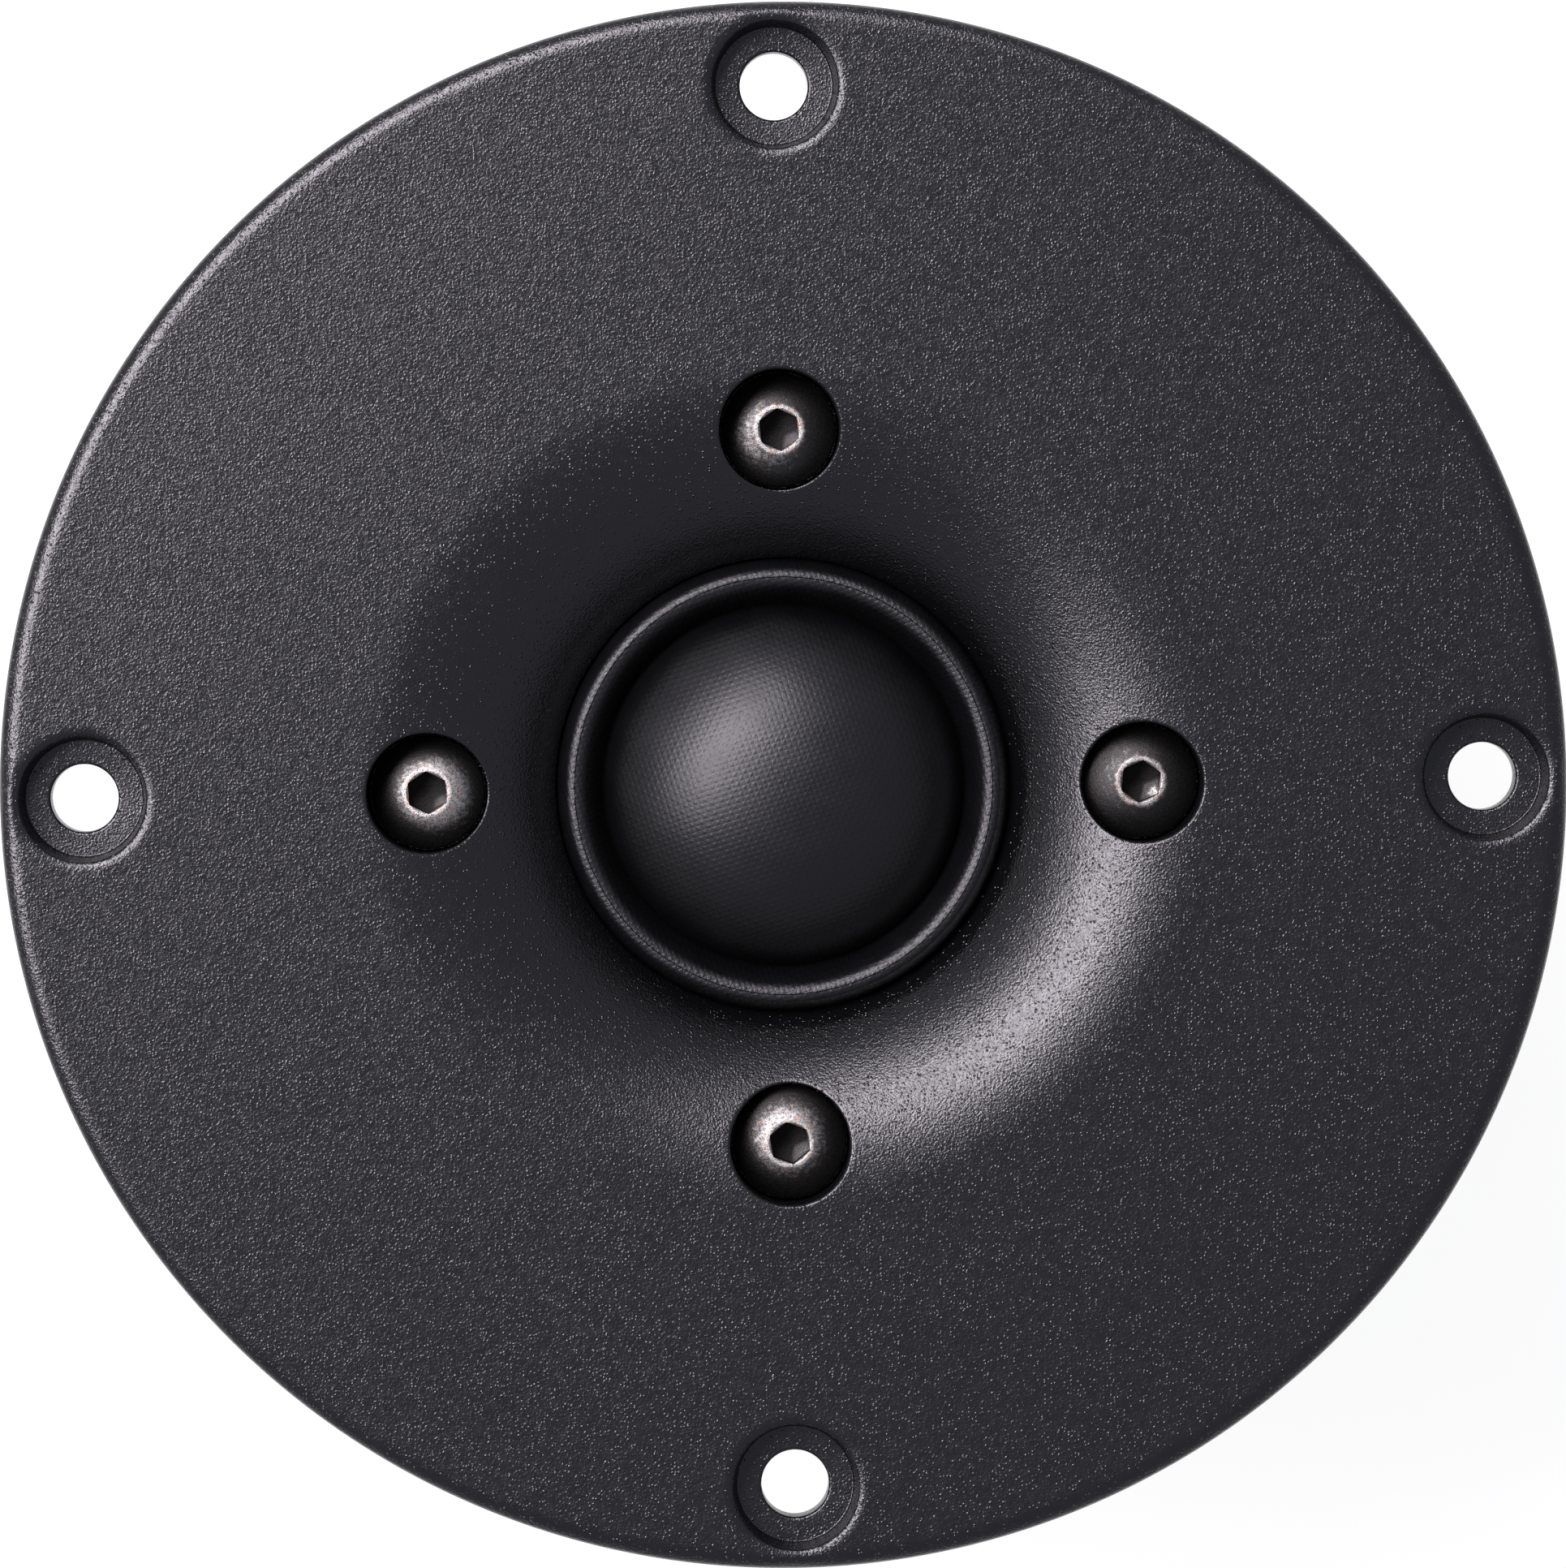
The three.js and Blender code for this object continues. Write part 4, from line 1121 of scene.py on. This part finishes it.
def pole():
    """Vented pole piece, flared at its mouth, with the stepped tip for the copper sleeve."""
    bottom, top = heights("pole_piece")
    shoulder, tip = high("back_plate").z, low("shorting_cap").z
    vent, mouth = 4.5 * MM, 7 * MM
    spigot, barrel, stepped = 10.9 * MM, 12.1 * MM, 11.8 * MM
    corners = [
        (vent, bottom, 0.3 * MM),
        (spigot, bottom, 0.3 * MM),
        (spigot, shoulder, 0),
        (barrel, shoulder, 0),
        (barrel, tip, 0.15 * MM),
        (stepped, tip, 0),
        (stepped, top, 0.15 * MM),
        (mouth, top, 0.5 * MM),
        (vent, top - 3 * MM, 1.5 * MM),
    ]
    return turned("vented_pole", loop_rounded(corners, 6), 128)


def rear_cup():
    """Moulded rear cup: filleted bottom with a shallow ring and gate mark, a step under the rim."""
    outer, top = high("rear_chamber_cup").x / MM, high("rear_chamber_cup").z / MM
    wall, floor = 1.8, 2
    gate_depth, ring_depth, step = 0.35, 0.4, 0.35
    corners = [
        (0, gate_depth, 0),
        (1.2, gate_depth, 0.1),
        (1.7, 0, 0.15),
        (17, 0, 0.2),
        (17.4, ring_depth, 0.15),
        (19.4, ring_depth, 0.15),
        (19.8, 0, 0.2),
        (outer - 0.1, 0, 2),
        (outer, top - 1.6, 0),
        (outer - step, top - 1.5, 0.1),
        (outer - step, top - 1.1, 0.1),
        (outer, top - 1, 0),
        (outer, top, 0.25),
        (outer - wall, top, 0.2),
        (outer - wall, floor, 1),
        (0, floor, 0),
    ]
    in_metres = [(r * MM, z * MM, fillet * MM) for r, z, fillet in corners]
    return turned("rear_cup", rounded(in_metres, 8), 256, False, 40)


# --- the object


def build_front(sealing):
    put(faceplate(), powder_coat(), "faceplate")
    put(mounting_gasket(), sealing, "mounting_gasket")
    faceplate_screws(black_oxide())


def build_diaphragm():
    """Dome and coil move; the roll is clamped outside, and its inner half, which bends between its crest and
    the dome, is left on no body.
    """
    put(dome(), coated_textile("dome_textile", 0.38, 0.01, 0.017), "dome", "diaphragm")
    roll_cloth = coated_textile("roll_textile", 0.46, 0.015, 0.028)
    clamped, moving = surround_halves()
    put(clamped, roll_cloth, "surround")
    put(moving, roll_cloth, "surround", None)
    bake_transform(moving)
    foil = bare_metal("former_foil", (0.5, 0.49, 0.46), (0.68, 0.67, 0.64), 3 * MM, 0.3)
    sleeves = (
        ("coil_former", "voice_coil_former", "coil_former", foil),
        ("coil_winding", "voice_coil_winding", "coil_wire", wound_wire()),
    )
    for name, node, slot, finish in sleeves:
        put(ring(name, node, (0.03,) * 4, 3, 128), finish, node, "diaphragm")


def build_terminals():
    """Both sides of the arm; the leads bend where they leave the former."""
    brass = bare_metal("tinned_brass", (0.52, 0.42, 0.22), (0.72, 0.62, 0.4), 1.6 * MM, 0.26)
    tin = bare_metal("solder_alloy", (0.42, 0.43, 0.44), (0.62, 0.63, 0.65), 0.7 * MM, 0.22)
    braid = tinsel_braid()
    for name, side, width in (("positive", 1, 4.8 * MM), ("negative", -1, 2.8 * MM)):
        across = side * LEAD_OFFSET
        put(terminal(f"blade_{name}", width, across), brass, f"terminal_{name}")
        put(rivet(f"rivet_{name}", across), brass, f"terminal_rivet_{name}")
        put(solder(f"solder_{name}", across, 3 + side), tin, f"solder_joint_{name}")
        wire = put(lead(f"tinsel_{name}", across), braid, f"lead_wire_{name}", None)
        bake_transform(wire)


def build_motor():
    zinc, steel = zinc_plate(), "zinc_plated_steel"
    copper = bare_metal("drawn_copper", (0.5, 0.22, 0.13), (0.72, 0.36, 0.23), 3 * MM, 0.3)
    put(ring("front_plate", "top_plate", (0.1, 0.25, 0.25, 0.1)), zinc, "top_plate")
    put(magnet_ring(), ferrite(), "magnet")
    put(ring("rear_plate", "back_plate", (0.1, 0.6, 0.2, 0.1)), zinc, "back_plate")
    put(pole(), zinc, "pole_piece")
    sleeve = ring("copper_sleeve", "shorting_cap", (0.05,) * 4, sides=128)
    put(sleeve, copper, "shorting_cap")
    pad = ring("pole_pad", "pole_damping_pad", (0.35,) * 4, sides=192)
    put(pad, felt(), "pole_damping_pad")


def build_rear_chamber(plastic, sealing):
    put(rear_cup(), plastic, "rear_chamber_cup")
    put(ring("cup_gasket", "cup_seal_ring", (0.2,) * 4), sealing, "cup_seal_ring")
    open_foam = foam("open_foam", 0.8 * MM, (0.006, 0.006, 0.007), (0.05, 0.05, 0.055), 0.5 * MM)
    core = ring("chamber_foam", "chamber_damping_foam", (0.8,) * 4, sides=192)
    put(core, open_foam, "chamber_damping_foam")


def build():
    plastic = moulded_plastic()
    sealing = foam("gasket_foam", 0.35 * MM, (0.008, 0.008, 0.009), (0.024, 0.024, 0.026), 0.12 * MM)
    build_front(sealing)
    build_diaphragm()
    put(carrier(), plastic, "diaphragm_frame")
    build_terminals()
    build_motor()
    build_rear_chamber(plastic, sealing)


# --- floor, light and camera


def floor():
    """A pale lit table, as wide as the views need."""
    half = 1.6
    mesh = bpy.data.meshes.new("floor")
    corners = [(-half, -half, 0), (half, -half, 0), (half, half, 0), (-half, half, 0)]
    mesh.from_pydata(corners, [], [(0, 1, 2, 3)])
    table = added("floor", mesh)
    white = Finish("pale_table", (0.15, 0.15, 0.152), 0.6, 0.0, 0.1)
    speckle = white.noise(4 * MM, 3)
    white.paint(speckle, (0.145, 0.145, 0.147), (0.155, 0.155, 0.157))
    white.set("Emission Color", (1, 1, 1, 1))
    white.set("Emission Strength", 0.9)
    mesh.materials.append(white.material)


def placed(name, data, place, back, sideways, roll=0.0):
    """An object at place with its X axis sideways and its Z axis back, then turned about Z by roll."""
    item = added(name, data)
    turn = Matrix((sideways, back.cross(sideways), back)).transposed() @ Matrix.Rotation(roll, 3, "Z")
    item.matrix_world = Matrix.Translation(place) @ turn.to_4x4()
    return item


def lights():
    """One long soft key from the upper left, its width level, and an even, slightly cool room."""
    tilt, bearing = math.radians(35), math.radians(142)
    distance = 0.62
    key = bpy.data.lights.new("key", "AREA")
    key.shape = "RECTANGLE"
    key.size, key.size_y = 0.8, 0.17
    key.energy = 11
    key.color = (1, 0.935, 1.02)
    out = math.sin(tilt)
    back = Vector((out * math.cos(bearing), out * math.sin(bearing), math.cos(tilt)))
    sideways = back.cross(Vector((0, 0, 1))).normalized()
    placed("key", key, Vector((0, 0, FACE_Z)) + back * distance, back, sideways)
    world = bpy.data.worlds.new("room")
    world.use_nodes = True
    room = world.node_tree.nodes["Background"].inputs
    room["Color"].default_value = (0.935, 0.955, 1.12, 1)
    room["Strength"].default_value = 0.45
    bpy.context.scene.world = world


def camera():
    """Almost square on, a little above and left of the axis, with a slight roll."""
    aim = Vector((-0.13 * MM, 0.27 * MM, FACE_Z))
    eye = aim + Vector((-8 * MM, 15 * MM, 460 * MM))
    half_height = 51.91 * MM
    roll = math.radians(-0.88)
    data = bpy.data.cameras.new("camera")
    data.sensor_width = 36
    data.lens = data.sensor_width / 2 * (aim - eye).length / half_height
    data.clip_start = 0.01
    data.clip_end = 10
    back = (eye - aim).normalized()
    right = Vector((0, 1, 0)).cross(back).normalized()
    bpy.context.scene.camera = placed("camera", data, eye, back, right, roll)


bpy.context.scene.view_settings.view_transform = "Standard"
camera()
lights()
floor()
build()
